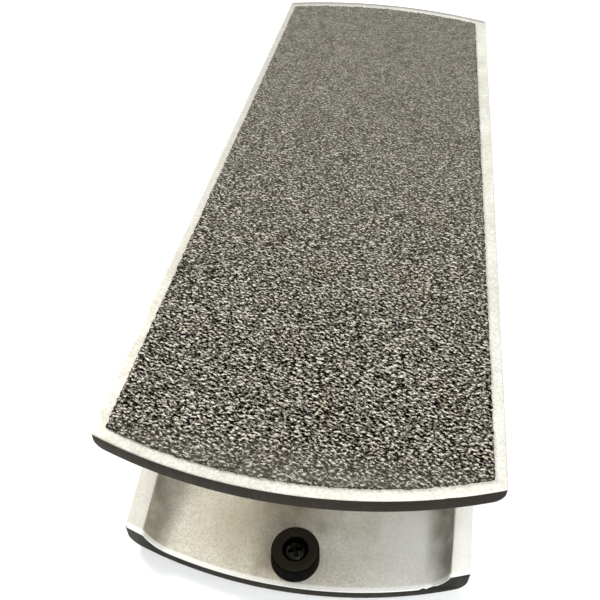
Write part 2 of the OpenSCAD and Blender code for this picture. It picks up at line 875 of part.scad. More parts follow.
base_channel();
base_feet();
heel_bumper();
heel_bumper_screw();
toe_bumper();
toe_bumper_screw();
pivot_shaft();
left_shaft_clip();
right_shaft_clip();
left_spacer();
right_spacer();
input_jack_frame();
input_jack_contact();
input_jack_insulators();
input_jack_washer();
input_jack_nut();
output_jack_frame();
output_jack_contact();
output_jack_insulators();
output_jack_washer();
output_jack_nut();
pot_bracket();
bracket_screws();
pot_front();
pot_can();
pot_wafer();
pot_terminals();
pot_washer();
pot_nut();
pot_shaft();
pot_rotor();
cord_drum();
drum_set_screw();
cord_turns();
taper_board();
board_standoffs();
board_screws();
taper_switch_body();
taper_switch_lever();
input_wire();
output_wire();
ground_link_wire();
ground_wire();
taper_wire();
treadle();
grip_sheet();
left_bushing();
right_bushing();
heel_cord_post();
toe_spring_post();
cord_heel_run();
cord_toe_run();
tension_spring();
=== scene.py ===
"""Looks of the rocking-treadle volume pedal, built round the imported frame. All lengths are in metres."""
import json
import math

import bmesh
import bpy
import numpy as np
from mathutils import Matrix, Vector


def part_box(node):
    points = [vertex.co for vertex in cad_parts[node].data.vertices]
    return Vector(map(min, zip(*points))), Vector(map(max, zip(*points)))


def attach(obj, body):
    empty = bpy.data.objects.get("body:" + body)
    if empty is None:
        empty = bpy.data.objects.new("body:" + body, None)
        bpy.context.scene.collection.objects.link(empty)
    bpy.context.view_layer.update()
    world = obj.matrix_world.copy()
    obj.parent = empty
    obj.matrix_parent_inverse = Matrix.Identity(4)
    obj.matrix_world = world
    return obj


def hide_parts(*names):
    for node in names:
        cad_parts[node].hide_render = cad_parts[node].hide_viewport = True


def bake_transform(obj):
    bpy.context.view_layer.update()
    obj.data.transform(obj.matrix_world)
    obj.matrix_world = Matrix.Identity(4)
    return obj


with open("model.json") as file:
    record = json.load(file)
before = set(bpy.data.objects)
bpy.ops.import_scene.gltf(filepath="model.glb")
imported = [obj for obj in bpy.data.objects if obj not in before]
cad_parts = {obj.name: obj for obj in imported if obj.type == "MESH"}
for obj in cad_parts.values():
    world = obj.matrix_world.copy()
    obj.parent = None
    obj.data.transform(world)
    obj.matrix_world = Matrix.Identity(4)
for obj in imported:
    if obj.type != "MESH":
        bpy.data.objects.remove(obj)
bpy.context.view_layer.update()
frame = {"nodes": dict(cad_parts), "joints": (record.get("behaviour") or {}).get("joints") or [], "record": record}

MM = 0.001
PLATE_THICKNESS = 4.1 * MM
NODES = frame["nodes"]

# ---- places, read from the frame

base_lo, base_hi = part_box("base_channel")
BASE_Z = base_lo.z
HALF_BASE = base_hi.x
FLOOR_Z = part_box("heel_bumper")[0].z
STOP_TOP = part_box("heel_bumper")[1].z
PIVOT = Vector(frame["joints"][0]["pos_m"])
INNER_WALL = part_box("right_spacer")[1].x + 0.1 * MM


def treadle_tilt():
    """Angle of the treadle about the pivot as packed, from the slope of the grip sheet's broad faces."""
    broad = max(NODES["grip_sheet"].data.polygons, key=lambda face: face.area)
    n = broad.normal
    return math.atan2(-n.y * math.copysign(1, n.z), abs(n.z))


# From the level treadle, measured from its pivot, to where it lies
TREADLE = Matrix.Translation(PIVOT) @ Matrix.Rotation(treadle_tilt(), 4, "X")


def level_points(node):
    """A treadle node's points, in the treadle's own level frame."""
    back = TREADLE.inverted()
    return [back @ v.co for v in NODES[node].data.vertices]


def level_box(node):
    """Lowest and highest corner of a treadle node, in the treadle's own level frame."""
    points = np.array(level_points(node))
    return Vector(points.min(0)), Vector(points.max(0))


grip_lo, grip_hi = level_box("grip_sheet")
treadle_lo, treadle_hi = level_box("treadle")
PLATE_TOP = grip_lo.z
PLATE_BOTTOM = PLATE_TOP - PLATE_THICKNESS
HALF_PLATE = treadle_hi.x
GRIP_TOP = grip_hi.z
HALF_GRIP = -grip_lo.x


def right_corners():
    """The grip sheet's right corners at its heel and its toe, in the treadle's own level frame."""
    points = level_points("grip_sheet")
    return [max((p for p in points if p.y * end > 0), key=lambda p: p.x) for end in (-1, 1)]


def arc_radius(half_chord, rise):
    return (half_chord ** 2 + rise ** 2) / (2 * rise)


HEEL_CORNER, TOE_CORNER = right_corners()
GRIP_RADIUS = arc_radius(HEEL_CORNER.x, HEEL_CORNER.y - grip_lo.y)
END_CENTRE = -grip_lo.y - GRIP_RADIUS
END_RADIUS = treadle_hi.y - END_CENTRE


def centre(node):
    """Middle of a node's box."""
    low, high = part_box(node)
    return (low + high) / 2


def reach_x(node):
    """Least and greatest distance of a node from the middle plane."""
    return sorted(abs(corner.x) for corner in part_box(node))


def ends_of(node):
    """Centres of the two end faces of a straight round node, the lower Y first."""
    points = np.array([v.co for v in NODES[node].data.vertices])
    way = np.linalg.svd(points - points.mean(0))[2][0]
    reach = points @ (way * math.copysign(1, way[1]))
    tips = points[reach < reach.min() + 0.05 * MM], points[reach > reach.max() - 0.05 * MM]
    return [Vector((tip.min(0) + tip.max(0)) / 2) for tip in tips]


def mm(*rows):
    """Rows of numbers that are given in millimetres."""
    return [tuple(value * MM for value in row) for row in rows]


def placed(name, data):
    """A new object of some data, in the scene."""
    thing = bpy.data.objects.new(name, data)
    bpy.context.scene.collection.objects.link(thing)
    return thing


def shifted(*place):
    return Matrix.Translation(place)


def aimed(place, way, axis="Z"):
    """A move that takes the origin to a place and turns an axis to point along a vector."""
    return Matrix.Translation(place) @ way.to_track_quat(axis, "Y").to_matrix().to_4x4()


# ---- camera, light and floor

def add_camera():
    """Hand-held view down on the heel end, turned and rolled a few degrees."""
    data = bpy.data.cameras.new("camera")
    data.sensor_width = 36
    data.lens = 44.36
    data.shift_x = -0.0753
    data.shift_y = -0.0249
    data.clip_start = 10 * MM
    camera = placed("camera", data)
    place = shifted(14.30 * MM, -199.84 * MM, 176.74 * MM)
    yaw = Matrix.Rotation(math.radians(4.60), 4, "Z")
    pitch = Matrix.Rotation(math.radians(90 - 44.44), 4, "X")
    roll = Matrix.Rotation(math.radians(3.61), 4, "Z")
    camera.matrix_world = place @ yaw @ pitch @ roll
    bpy.context.scene.camera = camera


def add_softbox(name, place, target, size, power, colour=(1, 1, 1)):
    """A rectangular lamp that faces a point."""
    data = bpy.data.lights.new(name, "AREA")
    data.shape = "RECTANGLE"
    data.size, data.size_y = size
    data.energy = power
    data.color = colour
    placed(name, data).matrix_world = aimed(place, Vector(target) - Vector(place), "-Z")


def add_studio():
    """White floor, grey surroundings, and lamps behind the left side, in front to the right, and above."""
    world = bpy.data.worlds.new("studio")
    world.use_nodes = True
    sky = world.node_tree.nodes["Background"].inputs
    sky["Color"].default_value = (0.95, 0.97, 1.0, 1)
    sky["Strength"].default_value = 0.45
    bpy.context.scene.world = world
    bpy.context.scene.view_settings.view_transform = "Standard"
    add_softbox("back_softbox", (-0.75, 0.65, 0.75), (0, 0, 0), (0.45, 0.45), 14, (1.0, 0.98, 0.95))
    add_softbox("front_softbox", (0.6, -0.75, 0.75), (0, -0.05, 0), (0.6, 0.5), 9.5, (0.97, 0.99, 1.0))
    add_softbox("top_softbox", (0.1, 0.0, 1.2), (0, 0, 0), (0.7, 0.7), 6)

    mesh = bpy.data.meshes.new("floor")
    bm = bmesh.new()
    bmesh.ops.create_circle(bm, cap_ends=True, radius=6, segments=96, matrix=shifted(0, 0, -0.05 * MM))
    bm.to_mesh(mesh)
    floor = placed("floor", mesh)
    surface = Surface("studio_floor", roughness=0.9, specular=0.1)
    surface.colour((0.93, 0.93, 0.93))
    floor.data.materials.append(surface.material)


# ---- shader building

MATERIALS = {}


def scaled(colour, factor):
    return tuple(c * factor for c in colour)


class Surface:
    """One procedural material. Textures use object coordinates; sizes of features are in metres."""

    def __init__(self, name, roughness=0.5, metallic=0.0, specular=0.5):
        self.material = bpy.data.materials.new(name)
        self.material.use_nodes = True
        MATERIALS[name] = self.material
        self.tree = self.material.node_tree
        self.shader = self.tree.nodes["Principled BSDF"]
        self.shader.inputs["Roughness"].default_value = roughness
        self.shader.inputs["Metallic"].default_value = metallic
        self.shader.inputs["Specular IOR Level"].default_value = specular
        self.place = self.tree.nodes.new("ShaderNodeTexCoord").outputs["Object"]
        self.height = None

    def node(self, kind, inputs=(), **settings):
        made = self.tree.nodes.new(kind)
        for key, value in settings.items():
            setattr(made, key, value)
        for key, value in dict(inputs).items():
            self.feed(made.inputs[key], value)
        return made

    def feed(self, socket, value):
        if isinstance(value, bpy.types.NodeSocket):
            self.tree.links.new(value, socket)
        elif hasattr(socket.default_value, "__len__") and len(value) < len(socket.default_value):
            socket.default_value = (*value, 1)
        else:
            socket.default_value = value

    def stretched(self, factors, turn=0.0):
        """Coordinates in which marks come out longer by a factor along each axis, after a turn about Z."""
        inputs = {"Vector": self.place, "Scale": factors, "Rotation": (0, 0, turn)}
        return self.node("ShaderNodeMapping", inputs, vector_type="TEXTURE").outputs["Vector"]

    def noise(self, size, detail=2.0, vector=None, distortion=0.0):
        inputs = {"Scale": 1 / size, "Detail": detail, "Distortion": distortion}
        inputs["Vector"] = vector or self.place
        return self.node("ShaderNodeTexNoise", inputs).outputs["Fac"]

    def calc(self, operation, a, b=0.0):
        return self.node("ShaderNodeMath", {0: a, 1: b}, operation=operation).outputs[0]

    def times(self, value, *factors):
        for factor in factors:
            value = self.calc("MULTIPLY", value, factor)
        return value

    def span(self, value, low, high, to_low=0.0, to_high=1.0):
        """value, from low..high to to_low..to_high, clamped."""
        inputs = {"Value": value, "From Min": low, "From Max": high, "To Min": to_low, "To Max": to_high}
        return self.node("ShaderNodeMapRange", inputs, interpolation_type="SMOOTHSTEP").outputs["Result"]

    def cloud(self, size, detail, low, high, to_low=0.0, to_high=1.0):
        """Noise, with its values from low to high spread from to_low to to_high."""
        return self.span(self.noise(size, detail), low, high, to_low, to_high)

    def mix(self, share, a, b, how="MIX"):
        """Colour a with a share of colour b over it; 6, 7 and 2 are the node's colour sockets."""
        made = self.node("ShaderNodeMix", data_type="RGBA", blend_type=how)
        for socket, value in (("Factor", share), (6, a), (7, b)):
            self.feed(made.inputs[socket], value)
        return made.outputs[2]

    def part(self, vector, index):
        return self.node("ShaderNodeSeparateXYZ", {"Vector": vector}).outputs[index]

    def axis(self, index):
        return self.part(self.place, index)

    def facing(self, index):
        """One component of the surface's own normal."""
        return self.part(self.node("ShaderNodeTexCoord").outputs["Normal"], index)

    def from_arc(self, middle_y):
        """Distance in plan from the centres of two arcs that mirror each other across Y = 0."""
        beyond = self.calc("SUBTRACT", self.calc("ABSOLUTE", self.axis(1)), middle_y)
        squares = self.calc("ADD", self.calc("POWER", self.axis(0), 2.0), self.calc("POWER", beyond, 2.0))
        return self.calc("SQRT", squares)

    def near(self, point, reach):
        """1 at a point and 0 beyond reach from it, with a ragged edge."""
        away = self.node("ShaderNodeVectorMath", {0: self.place, 1: point}, operation="DISTANCE")
        ragged = self.times(self.noise(reach / 3, 3), reach * 0.9)
        return self.span(self.calc("ADD", away.outputs["Value"], ragged), reach * 1.35, reach * 0.35)

    def specks(self, size, share, spread=0.18):
        """Sparse round marks: size is their pitch, and share the part of them that shows."""
        voronoi = self.node("ShaderNodeTexVoronoi", {"Vector": self.place, "Scale": 1 / size})
        chosen = self.node("ShaderNodeSeparateColor", {"Color": voronoi.outputs["Color"]}).outputs["Red"]
        shown = self.calc("LESS_THAN", chosen, share)
        ragged = self.times(self.noise(size * spread, 2), spread * 0.8)
        spot = self.span(self.calc("ADD", voronoi.outputs["Distance"], ragged), spread * 1.3, spread * 0.7)
        return self.times(shown, spot)

    def colour(self, value):
        self.tone = value
        self.feed(self.shader.inputs["Base Color"], value)

    def paint(self, colour, *shares):
        """Lays a colour over what is there; its share is the product of those given."""
        self.colour(self.mix(self.times(*shares), self.tone, colour))

    def roughness(self, value):
        self.feed(self.shader.inputs["Roughness"], value)

    def metallic(self, value):
        self.feed(self.shader.inputs["Metallic"], value)

    def bump(self, height, depth):
        """Adds relief; height runs 0..1 and depth is what that is in metres."""
        made = self.node("ShaderNodeBump", {"Height": height, "Distance": depth, "Strength": 1.0})
        if self.height is not None:
            self.feed(made.inputs["Normal"], self.height)
        self.height = made.outputs["Normal"]
        self.feed(self.shader.inputs["Normal"], self.height)


def aluminium(name, light, shade, roughness, metallic):
    """Satin extrusion: cloudy tone, blasted skin, faint draw lines along Y, specks and fine scratches."""
    s = Surface(name, roughness, metallic)
    cloud = s.span(s.noise(19 * MM, 4, distortion=0.5), 0.38, 0.66)
    mottle = s.cloud(2.2 * MM, 4, 0.38, 0.70)
    skin = s.noise(0.62 * MM, 3)
    draw_lines = s.noise(0.5 * MM, 2, s.stretched((1, 50, 1)))
    deep = scaled(shade, 0.55)
    s.colour(light)
    s.paint(shade, cloud)
    s.paint(deep, mottle, 0.16)
    s.paint(deep, s.span(skin, 0.35, 0.65, 0, 0.42))
    s.paint(deep, s.span(draw_lines, 0.4, 0.8, 0, 0.08))
    marks = s.specks(2.2 * MM, 0.3, 0.10)
    s.paint((0.16, 0.13, 0.09), marks, 0.75)
    scratch = s.span(s.noise(1.3 * MM, 1, s.stretched((1, 28, 1), math.radians(28))), 0.735, 0.755)
    s.paint(deep, scratch, 0.3)
    s.roughness(s.cloud(5 * MM, 4, 0.25, 0.8, roughness - 0.07, roughness + 0.1))
    s.bump(skin, 0.022 * MM)
    s.bump(s.noise(0.2 * MM, 1), 0.008 * MM)
    s.bump(draw_lines, 0.004 * MM)
    s.bump(s.calc("ADD", scratch, marks), -0.008 * MM)
    return s


def base_metal():
    """The channel's skin: beside the heel stop a dark brown patch, rust specks, painted shadow under the treadle's
    edge, painted shade to the left and a pale painted reflection to the right; painted shade in the fillets along
    the foot of its walls; painted highlights on its wall tops and along its end edges.
    """
    s = aluminium("base_metal", (0.67, 0.64, 0.545), (0.57, 0.53, 0.42), 0.5, 0.3)
    stop = centre("heel_bumper")
    # Rows: a dark brown patch left of the stop's foot; painted shadow under the treadle's heel edge; painted shade
    # on the floor's left; a pale painted reflection on the floor's right
    # Place from the stop and reach in millimetres, strength, colour
    patches = [
        ((-7, -2), 6, 0.55, (0.20, 0.13, 0.065)),
        ((-2, 14), 20, 0.9, (0.15, 0.125, 0.08)),
        ((-17, 8), 19, 0.5, (0.33, 0.28, 0.18)),
        ((31, 6), 36, 0.65, (0.90, 0.90, 0.88)),
    ]
    for (x, y), reach, share, colour in patches:
        patch = s.near((stop.x + x * MM, stop.y + y * MM, FLOOR_Z), reach * MM)
        s.paint(colour, patch, share)
    rusty = s.near((stop.x - 17 * MM, stop.y, FLOOR_Z), 22 * MM)
    rust = s.times(s.specks(1.3 * MM, 0.16, 0.11), rusty, 0.8)
    s.paint((0.15, 0.095, 0.05), rust)
    across = s.calc("ABSOLUTE", s.axis(0))
    on_wall = s.calc("GREATER_THAN", across, INNER_WALL + 0.05 * MM)
    within = s.calc("LESS_THAN", across, HALF_BASE - 0.02 * MM)
    raised = s.calc("GREATER_THAN", s.axis(2), BASE_Z + 6 * MM)
    # Painted highlight: the wall tops are painted paler, standing in for the light on their upward faces
    s.paint((0.88, 0.88, 0.84), on_wall, within, raised, 0.35)
    # Painted shade: the floor beside each wall, in the fillets, is darkened in cloudy patches
    beside_wall = s.span(across, INNER_WALL - 7 * MM, INNER_WALL - 1.5 * MM)
    inside = s.calc("LESS_THAN", across, INNER_WALL - 0.05 * MM)
    above_floor = s.calc("GREATER_THAN", s.axis(2), FLOOR_Z - 0.3 * MM)
    painted_fillet_shade = s.times(beside_wall, inside, above_floor, s.cloud(6 * MM, 4, 0.3, 0.65, 0.3, 0.75))
    s.paint((0.17, 0.14, 0.095), painted_fillet_shade)
    # Painted highlight: a pale band just inside the curved end edges, along the floor's front edge
    lip = s.span(s.from_arc(END_CENTRE), END_RADIUS - 1.4 * MM, END_RADIUS - 0.8 * MM, 0, 0.6)
    s.paint((0.95, 0.95, 0.92), lip)
    outside = s.calc("GREATER_THAN", across, HALF_BASE - 0.02 * MM)
    s.paint((0.58, 0.57, 0.54), outside, 0.7)
    s.metallic(s.span(outside, 0, 1, 0.3, 0.85))


def treadle_metal():
    """The plate's skin: painted lighter to the right and darker to the left, with painted shade in the rounds of
    its sides and along its toe edge.
    """
    s = aluminium("treadle_metal", (0.69, 0.68, 0.62), (0.61, 0.595, 0.53), 0.52, 0.4)
    # Painted light and shade: the tone is multiplied darker at the left side and lighter at the right
    painted_light_rightward = s.span(s.axis(0), -HALF_PLATE, HALF_PLATE)
    s.colour(s.mix(1.0, s.tone, s.mix(painted_light_rightward, (0.80, 0.79, 0.77), (1.16, 1.16, 1.13)), "MULTIPLY"))
    # Painted shade: a dark band along the toe edge and in the side rounds that do not face the heel
    toe_edge = (TREADLE @ Vector((0, END_CENTRE + END_RADIUS, PLATE_TOP))).y
    at_toe = s.span(s.from_arc(toe_edge - END_RADIUS), END_RADIUS - 2.6 * MM, END_RADIUS - 1.6 * MM, 0, 0.65)
    at_toe = s.times(at_toe, s.calc("GREATER_THAN", s.axis(1), END_CENTRE))
    in_round = s.span(s.facing(2), 0.97, 0.70, 0, 0.3)
    painted_edge_shade = s.calc("MAXIMUM", at_toe, s.times(in_round, s.span(s.facing(1), -0.35, -0.15)))
    s.paint((0.17, 0.16, 0.135), painted_edge_shade)
    below = s.calc("LESS_THAN", s.facing(2), 0.3)
    s.paint((0.58, 0.57, 0.54), below, 0.7)
    s.metallic(s.span(below, 0, 1, 0.4, 0.85))


def cut_end(name, colour, step_x=None):
    """Sawn end face, its dark colour painted shade for end faces that get little light from the front; left of
    step_x it is painted a little lighter.
    """
    s = Surface(name, 0.55, 0.0, 0.08)
    across = s.noise(0.8 * MM, 3, s.stretched((1, 1, 8)))
    s.colour(colour)
    s.paint(scaled(colour, 1.5), s.cloud(14 * MM, 3, 0.3, 0.7))
    s.paint(scaled(colour, 1.9), s.span(across, 0.3, 0.8, 0, 0.35))
    if step_x is not None:
        lighter = s.times(s.calc("LESS_THAN", s.axis(0), step_x), 0.3)
        s.paint(scaled(colour, 2.2), lighter)
    s.roughness(s.span(across, 0.2, 0.8, 0.45, 0.65))
    s.bump(across, 0.015 * MM)
    s.bump(s.noise(0.3 * MM, 2), 0.01 * MM)


def grit():
    """Mineral grains in a black binder. The mesh says how high each point stands and how its grain is toned.
    Each grain's flank towards the back lamp, to the toe and the left, is painted pale and its other flank black,
    painted highlight and shadow; towards the toe end, dust evens everything."""
    s = Surface("grit", 0.65, 0.0, 0.01)
    high = s.node("ShaderNodeAttribute", attribute_name="stand").outputs["Fac"]
    tint = s.node("ShaderNodeAttribute", attribute_name="tint").outputs["Fac"]
    place = s.stretched((1.22, 0.95, 1), math.radians(-24))
    crumbs = s.noise(0.66 * MM, 1.4, place, 0.2)
    # Painted highlight and shadow: crumbs minus crumbs shifted towards the back lamp pales each grain's flank that
    # faces the lamp and blackens the other
    toward_lamp = mm((-0.06, 0.15, 0.04))[0]
    beyond = s.node("ShaderNodeVectorMath", {0: place, 1: toward_lamp}, operation="ADD")
    painted_relief = s.calc("SUBTRACT", crumbs, s.noise(0.66 * MM, 1.4, beyond.outputs[0], 0.2))
    fine = s.noise(0.2 * MM, 1)
    level = s.calc("ADD", s.span(high, 0, 1, -0.15, 0.15), s.span(crumbs, 0.3, 0.7))
    level = s.calc("ADD", level, s.times(painted_relief, 3.4))
    # Low level shows the binder's black, for pits and for painted shadow; high level paints the grain pale, for
    # crest tone and for painted highlight
    pits_and_painted_shadow = s.span(level, 0.17, 0.66)
    crests_and_painted_highlight = s.span(level, 0.74, 1.45)
    body = s.mix(tint, (0.078, 0.073, 0.059), (0.185, 0.171, 0.135))
    s.colour((0.001, 0.0009, 0.0007))
    s.paint(body, pits_and_painted_shadow)
    s.paint((0.70, 0.66, 0.56), crests_and_painted_highlight)
    rosy = s.cloud(9 * MM, 3, 0.55, 0.75, 0, 0.4)
    s.paint(s.mix(1.0, s.tone, (1.0, 0.80, 0.70), "MULTIPLY"), rosy)
    trodden = s.span(s.axis(1), -0.112, -0.124, 0.0, 0.35)
    dust = s.calc("MAXIMUM", trodden, s.span(s.axis(1), -0.10, 0.11, 0.0, 0.7))
    drifts = s.cloud(3.2 * MM, 6, 0.34, 0.66)
    s.paint(s.mix(drifts, (0.120, 0.113, 0.094), (0.188, 0.176, 0.147)), dust)
    s.roughness(s.span(fine, 0.2, 0.8, 0.45, 0.75))
    s.bump(crumbs, 0.5 * MM)
    s.bump(fine, 0.05 * MM)


def rubber(name, colour, dust, low_z, dust_and_reflection_height, top_z=1.0):
    """Moulded rubber: paler low on its side, with dust and a painted reflection of the floor, and greyer above
    top_z, with wear where feet and the treadle touch it and a painted highlight.
    """
    s = Surface(name, 0.65, 0.0, 0.02)
    height = s.calc("ADD", s.axis(2), s.times(s.noise(2.5 * MM, 3), 1.2 * MM))
    # Dust and painted reflection: the side is painted paler towards its foot, partly standing in for the floor's
    # reflection
    dust_and_painted_reflection = s.span(height, low_z + dust_and_reflection_height, low_z + dust_and_reflection_height * 0.55, 0, 0.8)
    # Wear and painted highlight: above top_z the rubber is painted greyer
    rubbed_and_painted_highlight = s.span(s.axis(2), top_z, top_z + 0.4 * MM)
    s.colour(colour)
    s.paint(scaled(colour, 2.4), s.cloud(0.7 * MM, 3, 0.3, 0.75, 0, 0.6))
    s.paint((0.016, 0.014, 0.0095), rubbed_and_painted_highlight)
    s.paint(dust, dust_and_painted_reflection)
    s.roughness(s.cloud(1.3 * MM, 3, 0.3, 0.7, 0.5, 0.7))
    s.bump(s.noise(0.3 * MM, 2), 0.012 * MM)


def bright_metal(name, colour, roughness, turned=None, tarnish=0.18):
    """Plated or turned small part, tarnished in patches; turned names the axis its tool marks go round."""
    s = Surface(name, roughness, 1.0)
    patch = s.cloud(1.9 * MM, 3, 0.4, 0.75, 0, tarnish)
    s.colour(colour)
    s.paint(scaled(colour, 0.5), patch)
    s.paint((0.10, 0.08, 0.06), s.specks(1.2 * MM, 0.08, 0.1), 0.35)
    s.roughness(s.cloud(1.2 * MM, 3, 0.25, 0.8, roughness - 0.04, roughness + 0.08))
    if turned is not None:
        rings = [50, 50, 50]
        rings[turned] = 1
        s.bump(s.noise(0.12 * MM, 2, s.stretched(rings)), 0.004 * MM)
    s.bump(s.noise(0.16 * MM, 2), 0.0015 * MM)


def plastic(name, colour, roughness=0.33):
    """Moulded or extruded plastic with a faint cloud in its colour and a fine skin."""
    s = Surface(name, roughness)
    cloud = s.cloud(2.2 * MM, 3, 0.3, 0.75, 0, 0.15)
    s.colour(colour)
    s.paint(scaled(colour, 0.55), cloud)
    s.paint((0.1, 0.09, 0.07), s.specks(1.3 * MM, 0.1, 0.1), 0.4)
    s.roughness(s.cloud(1.1 * MM, 3, 0.25, 0.8, roughness - 0.08, roughness + 0.12))
    s.bump(s.noise(0.2 * MM, 2), 0.008 * MM)


def phenolic():
    """Paper laminate: brown, with layered streaks."""
    s = Surface("phenolic", 0.5, 0.0, 0.4)
    fibre = s.noise(0.5 * MM, 4, s.stretched((1, 4, 0.3)))
    s.colour((0.29, 0.145, 0.065))
    s.paint((0.22, 0.105, 0.045), s.span(fibre, 0.3, 0.7))
    s.roughness(s.span(fibre, 0.2, 0.8, 0.4, 0.62))
    s.bump(fibre, 0.01 * MM)


def circuit_board():
    """Green solder mask with copper tracks showing paler through it."""
    s = Surface("board", 0.3, 0.0, 0.5)
    lanes = s.node("ShaderNodeTexWave", {"Vector": s.place, "Scale": 95.0, "Distortion": 2.5, "Detail": 1.0})
    track = s.span(lanes.outputs["Fac"], 0.62, 0.7)
    s.colour((0.012, 0.085, 0.035))
    s.paint((0.04, 0.20, 0.075), track)
    weave = s.noise(0.35 * MM, 2, s.stretched((1, 3, 1)))
    s.paint((0.02, 0.06, 0.03), s.span(weave, 0.35, 0.75, 0, 0.25))
    s.roughness(s.cloud(2 * MM, 3, 0.3, 0.7, 0.22, 0.42))
    s.bump(track, 0.02 * MM)


def waxed_cord():
    s = Surface("cord", 0.6, 0.0, 0.4)
    strands = s.noise(0.18 * MM, 2, s.stretched((1, 3, 1)))
    s.colour((0.62, 0.54, 0.36))
    s.paint((0.36, 0.29, 0.18), s.span(strands, 0.3, 0.7))
    s.roughness(s.span(strands, 0.2, 0.8, 0.5, 0.72))
    s.bump(strands, 0.03 * MM)


base_metal()
treadle_metal()
# The near-black colours of the end faces are painted shade
cut_end("base_cut", (0.016, 0.0140, 0.0100))
cut_end("treadle_cut", (0.016, 0.0122, 0.0082), -29.5 * MM)
grit()
# The stops' pale low band is dust and painted reflection; their greyer top is wear and painted highlight
rubber("black_rubber", (0.001, 0.0009, 0.0007), (0.006, 0.005, 0.003), FLOOR_Z, 2 * MM, STOP_TOP - 0.6 * MM)
bright_metal("black_screw", (0.028, 0.027, 0.024), 0.27, tarnish=0.5)
rubber("foot_rubber", (0.010, 0.0095, 0.009), (0.10, 0.095, 0.08), 0, 0.5 * MM)
bright_metal("steel", (0.62, 0.61, 0.60), 0.24, turned=0)
bright_metal("spring_steel", (0.42, 0.42, 0.43), 0.32)
bright_metal("plated_steel", (0.72, 0.70, 0.66), 0.27)
bright_metal("bronze", (0.46, 0.29, 0.15), 0.5, tarnish=0.5)
bright_metal("brass", (0.72, 0.52, 0.22), 0.28, turned=0, tarnish=0.4)
plastic("nylon", (0.80, 0.77, 0.69), 0.45)
phenolic()
circuit_board()
plastic("black_plastic", (0.02, 0.02, 0.021), 0.42)
plastic("red_wire", (0.50, 0.03, 0.025))
plastic("yellow_wire", (0.72, 0.52, 0.06))
plastic("black_wire", (0.025, 0.026, 0.028))
plastic("blue_wire", (0.04, 0.11, 0.42))
waxed_cord()
SLOT_OF = {part["node"]: part["material_slot"] for part in frame["record"]["subparts"]}


# ---- mesh building

def new_piece(name, bm, body, node=None, slot=None, materials=None, smooth_angle=35):
    """Makes an object of a bmesh in the row frame, shades it, and puts it on its body in a node's place."""
    slot = slot or SLOT_OF[node]
    bmesh.ops.recalc_face_normals(bm, faces=bm.faces)
    mesh = bpy.data.meshes.new(name)
    bm.to_mesh(mesh)
    bm.free()
    for key in materials or [slot]:
        mesh.materials.append(MATERIALS[key])
    mesh.shade_smooth()
    mesh.set_sharp_from_angle(angle=math.radians(smooth_angle))
    piece = placed(name, mesh)
    if body:
        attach(piece, body)
    if node:
        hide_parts(node)
    return piece


def loose_mesh(bm):
    """A mesh of a bmesh, with two empty material slots so that its faces keep their own."""
    mesh = bpy.data.meshes.new("loose")
    bm.to_mesh(mesh)
    bm.free()
    for _ in range(2):
        mesh.materials.append(None)
    return mesh


def changed(bm, kind, **settings):
    """The bmesh after one modifier."""
    thing = placed("work", loose_mesh(bm))
    change = thing.modifiers.new("change", kind)
    for key, value in settings.items():
        setattr(change, key, value)
    result = bmesh.new()
    seen = thing.evaluated_get(bpy.context.evaluated_depsgraph_get())
    result.from_mesh(bpy.data.meshes.new_from_object(seen))
    bpy.data.objects.remove(thing)
    return result


def bevelled(bm, width, sharper_than, **settings):
    """The bmesh with its edges that are sharper than an angle in degrees broken by a small round."""
    return changed(bm, "BEVEL", width=width, segments=2, limit_method="ANGLE",
                   angle_limit=math.radians(sharper_than), **settings)


def carve(bm, cutters):
    """The bmesh with closed shapes, themselves bmeshes, taken out of it."""
    for cutter in cutters:
        tool = placed("tool", loose_mesh(cutter))
        bm = changed(bm, "BOOLEAN", operation="DIFFERENCE", solver="EXACT", object=tool)
        bpy.data.objects.remove(tool)
    return bm


def add(bm, other, move=None):
    """Puts the second bmesh into the first, moved by a matrix."""
    if move:
        other.transform(move)
    bm.from_mesh(loose_mesh(other))


def pairs_round(items):
    """Each item with the one after it, and the last with the first."""
    return zip(items, items[1:] + items[:1])


def circle(count, closed=False):
    """Angles of even steps round a circle, the first one again at the end if closed."""
    return [2 * math.pi * k / count for k in range(count + closed)]


def run_of(path):
    """Distance along a path to each of its points."""
    run = [0.0]
    for a, b in zip(path, path[1:]):
        run.append(run[-1] + (b - a).length)
    return run


def inset(loop, depth):
    """A closed 2D outline moved inward by depth along its corner normals."""
    moved = []
    side = math.copysign(1, sum(a[0] * b[1] - b[0] * a[1] for a, b in pairs_round(loop)))
    for before, at, after in zip(loop[-1:] + loop[:-1], loop, loop[1:] + loop[:1]):
        u = (Vector(at) - Vector(before)).normalized()
        w = (Vector(after) - Vector(at)).normalized()
        n = Vector((-u.y - w.y, u.x + w.x)).normalized() * side
        moved.append((at[0] + n.x * depth, at[1] + n.y * depth))
    return moved


def rounded(corners, closed=False, steps=3):
    """A 2D outline with its corners rounded: each corner is (a, b, radius)."""
    outline = []
    count = len(corners)
    for i, (a, b, radius) in enumerate(corners):
        if radius == 0 or (not closed and i in (0, count - 1)):
            outline.append((a, b))
            continue
        at = Vector((a, b))
        u = (Vector(corners[i - 1][:2]) - at).normalized()
        w = (Vector(corners[(i + 1) % count][:2]) - at).normalized()
        half = u.angle(w) / 2
        middle = at + (u + w).normalized() * radius / math.sin(half)
        first = at + u * radius / math.tan(half) - middle
        last = at + w * radius / math.tan(half) - middle
        sweep = math.pi - 2 * half
        for k in range(steps + 1):
            share = k / steps
            spot = first * math.sin((1 - share) * sweep) + last * math.sin(share * sweep)
            outline.append(tuple(middle + spot / math.sin(sweep)))
    return outline


AXES = {
    "Z": Matrix.Identity(4),
    "-Z": Matrix.Rotation(math.pi, 4, "X"),
    "X": Matrix.Rotation(math.pi / 2, 4, "Y"),
    "-X": Matrix.Rotation(-math.pi / 2, 4, "Y"),
}


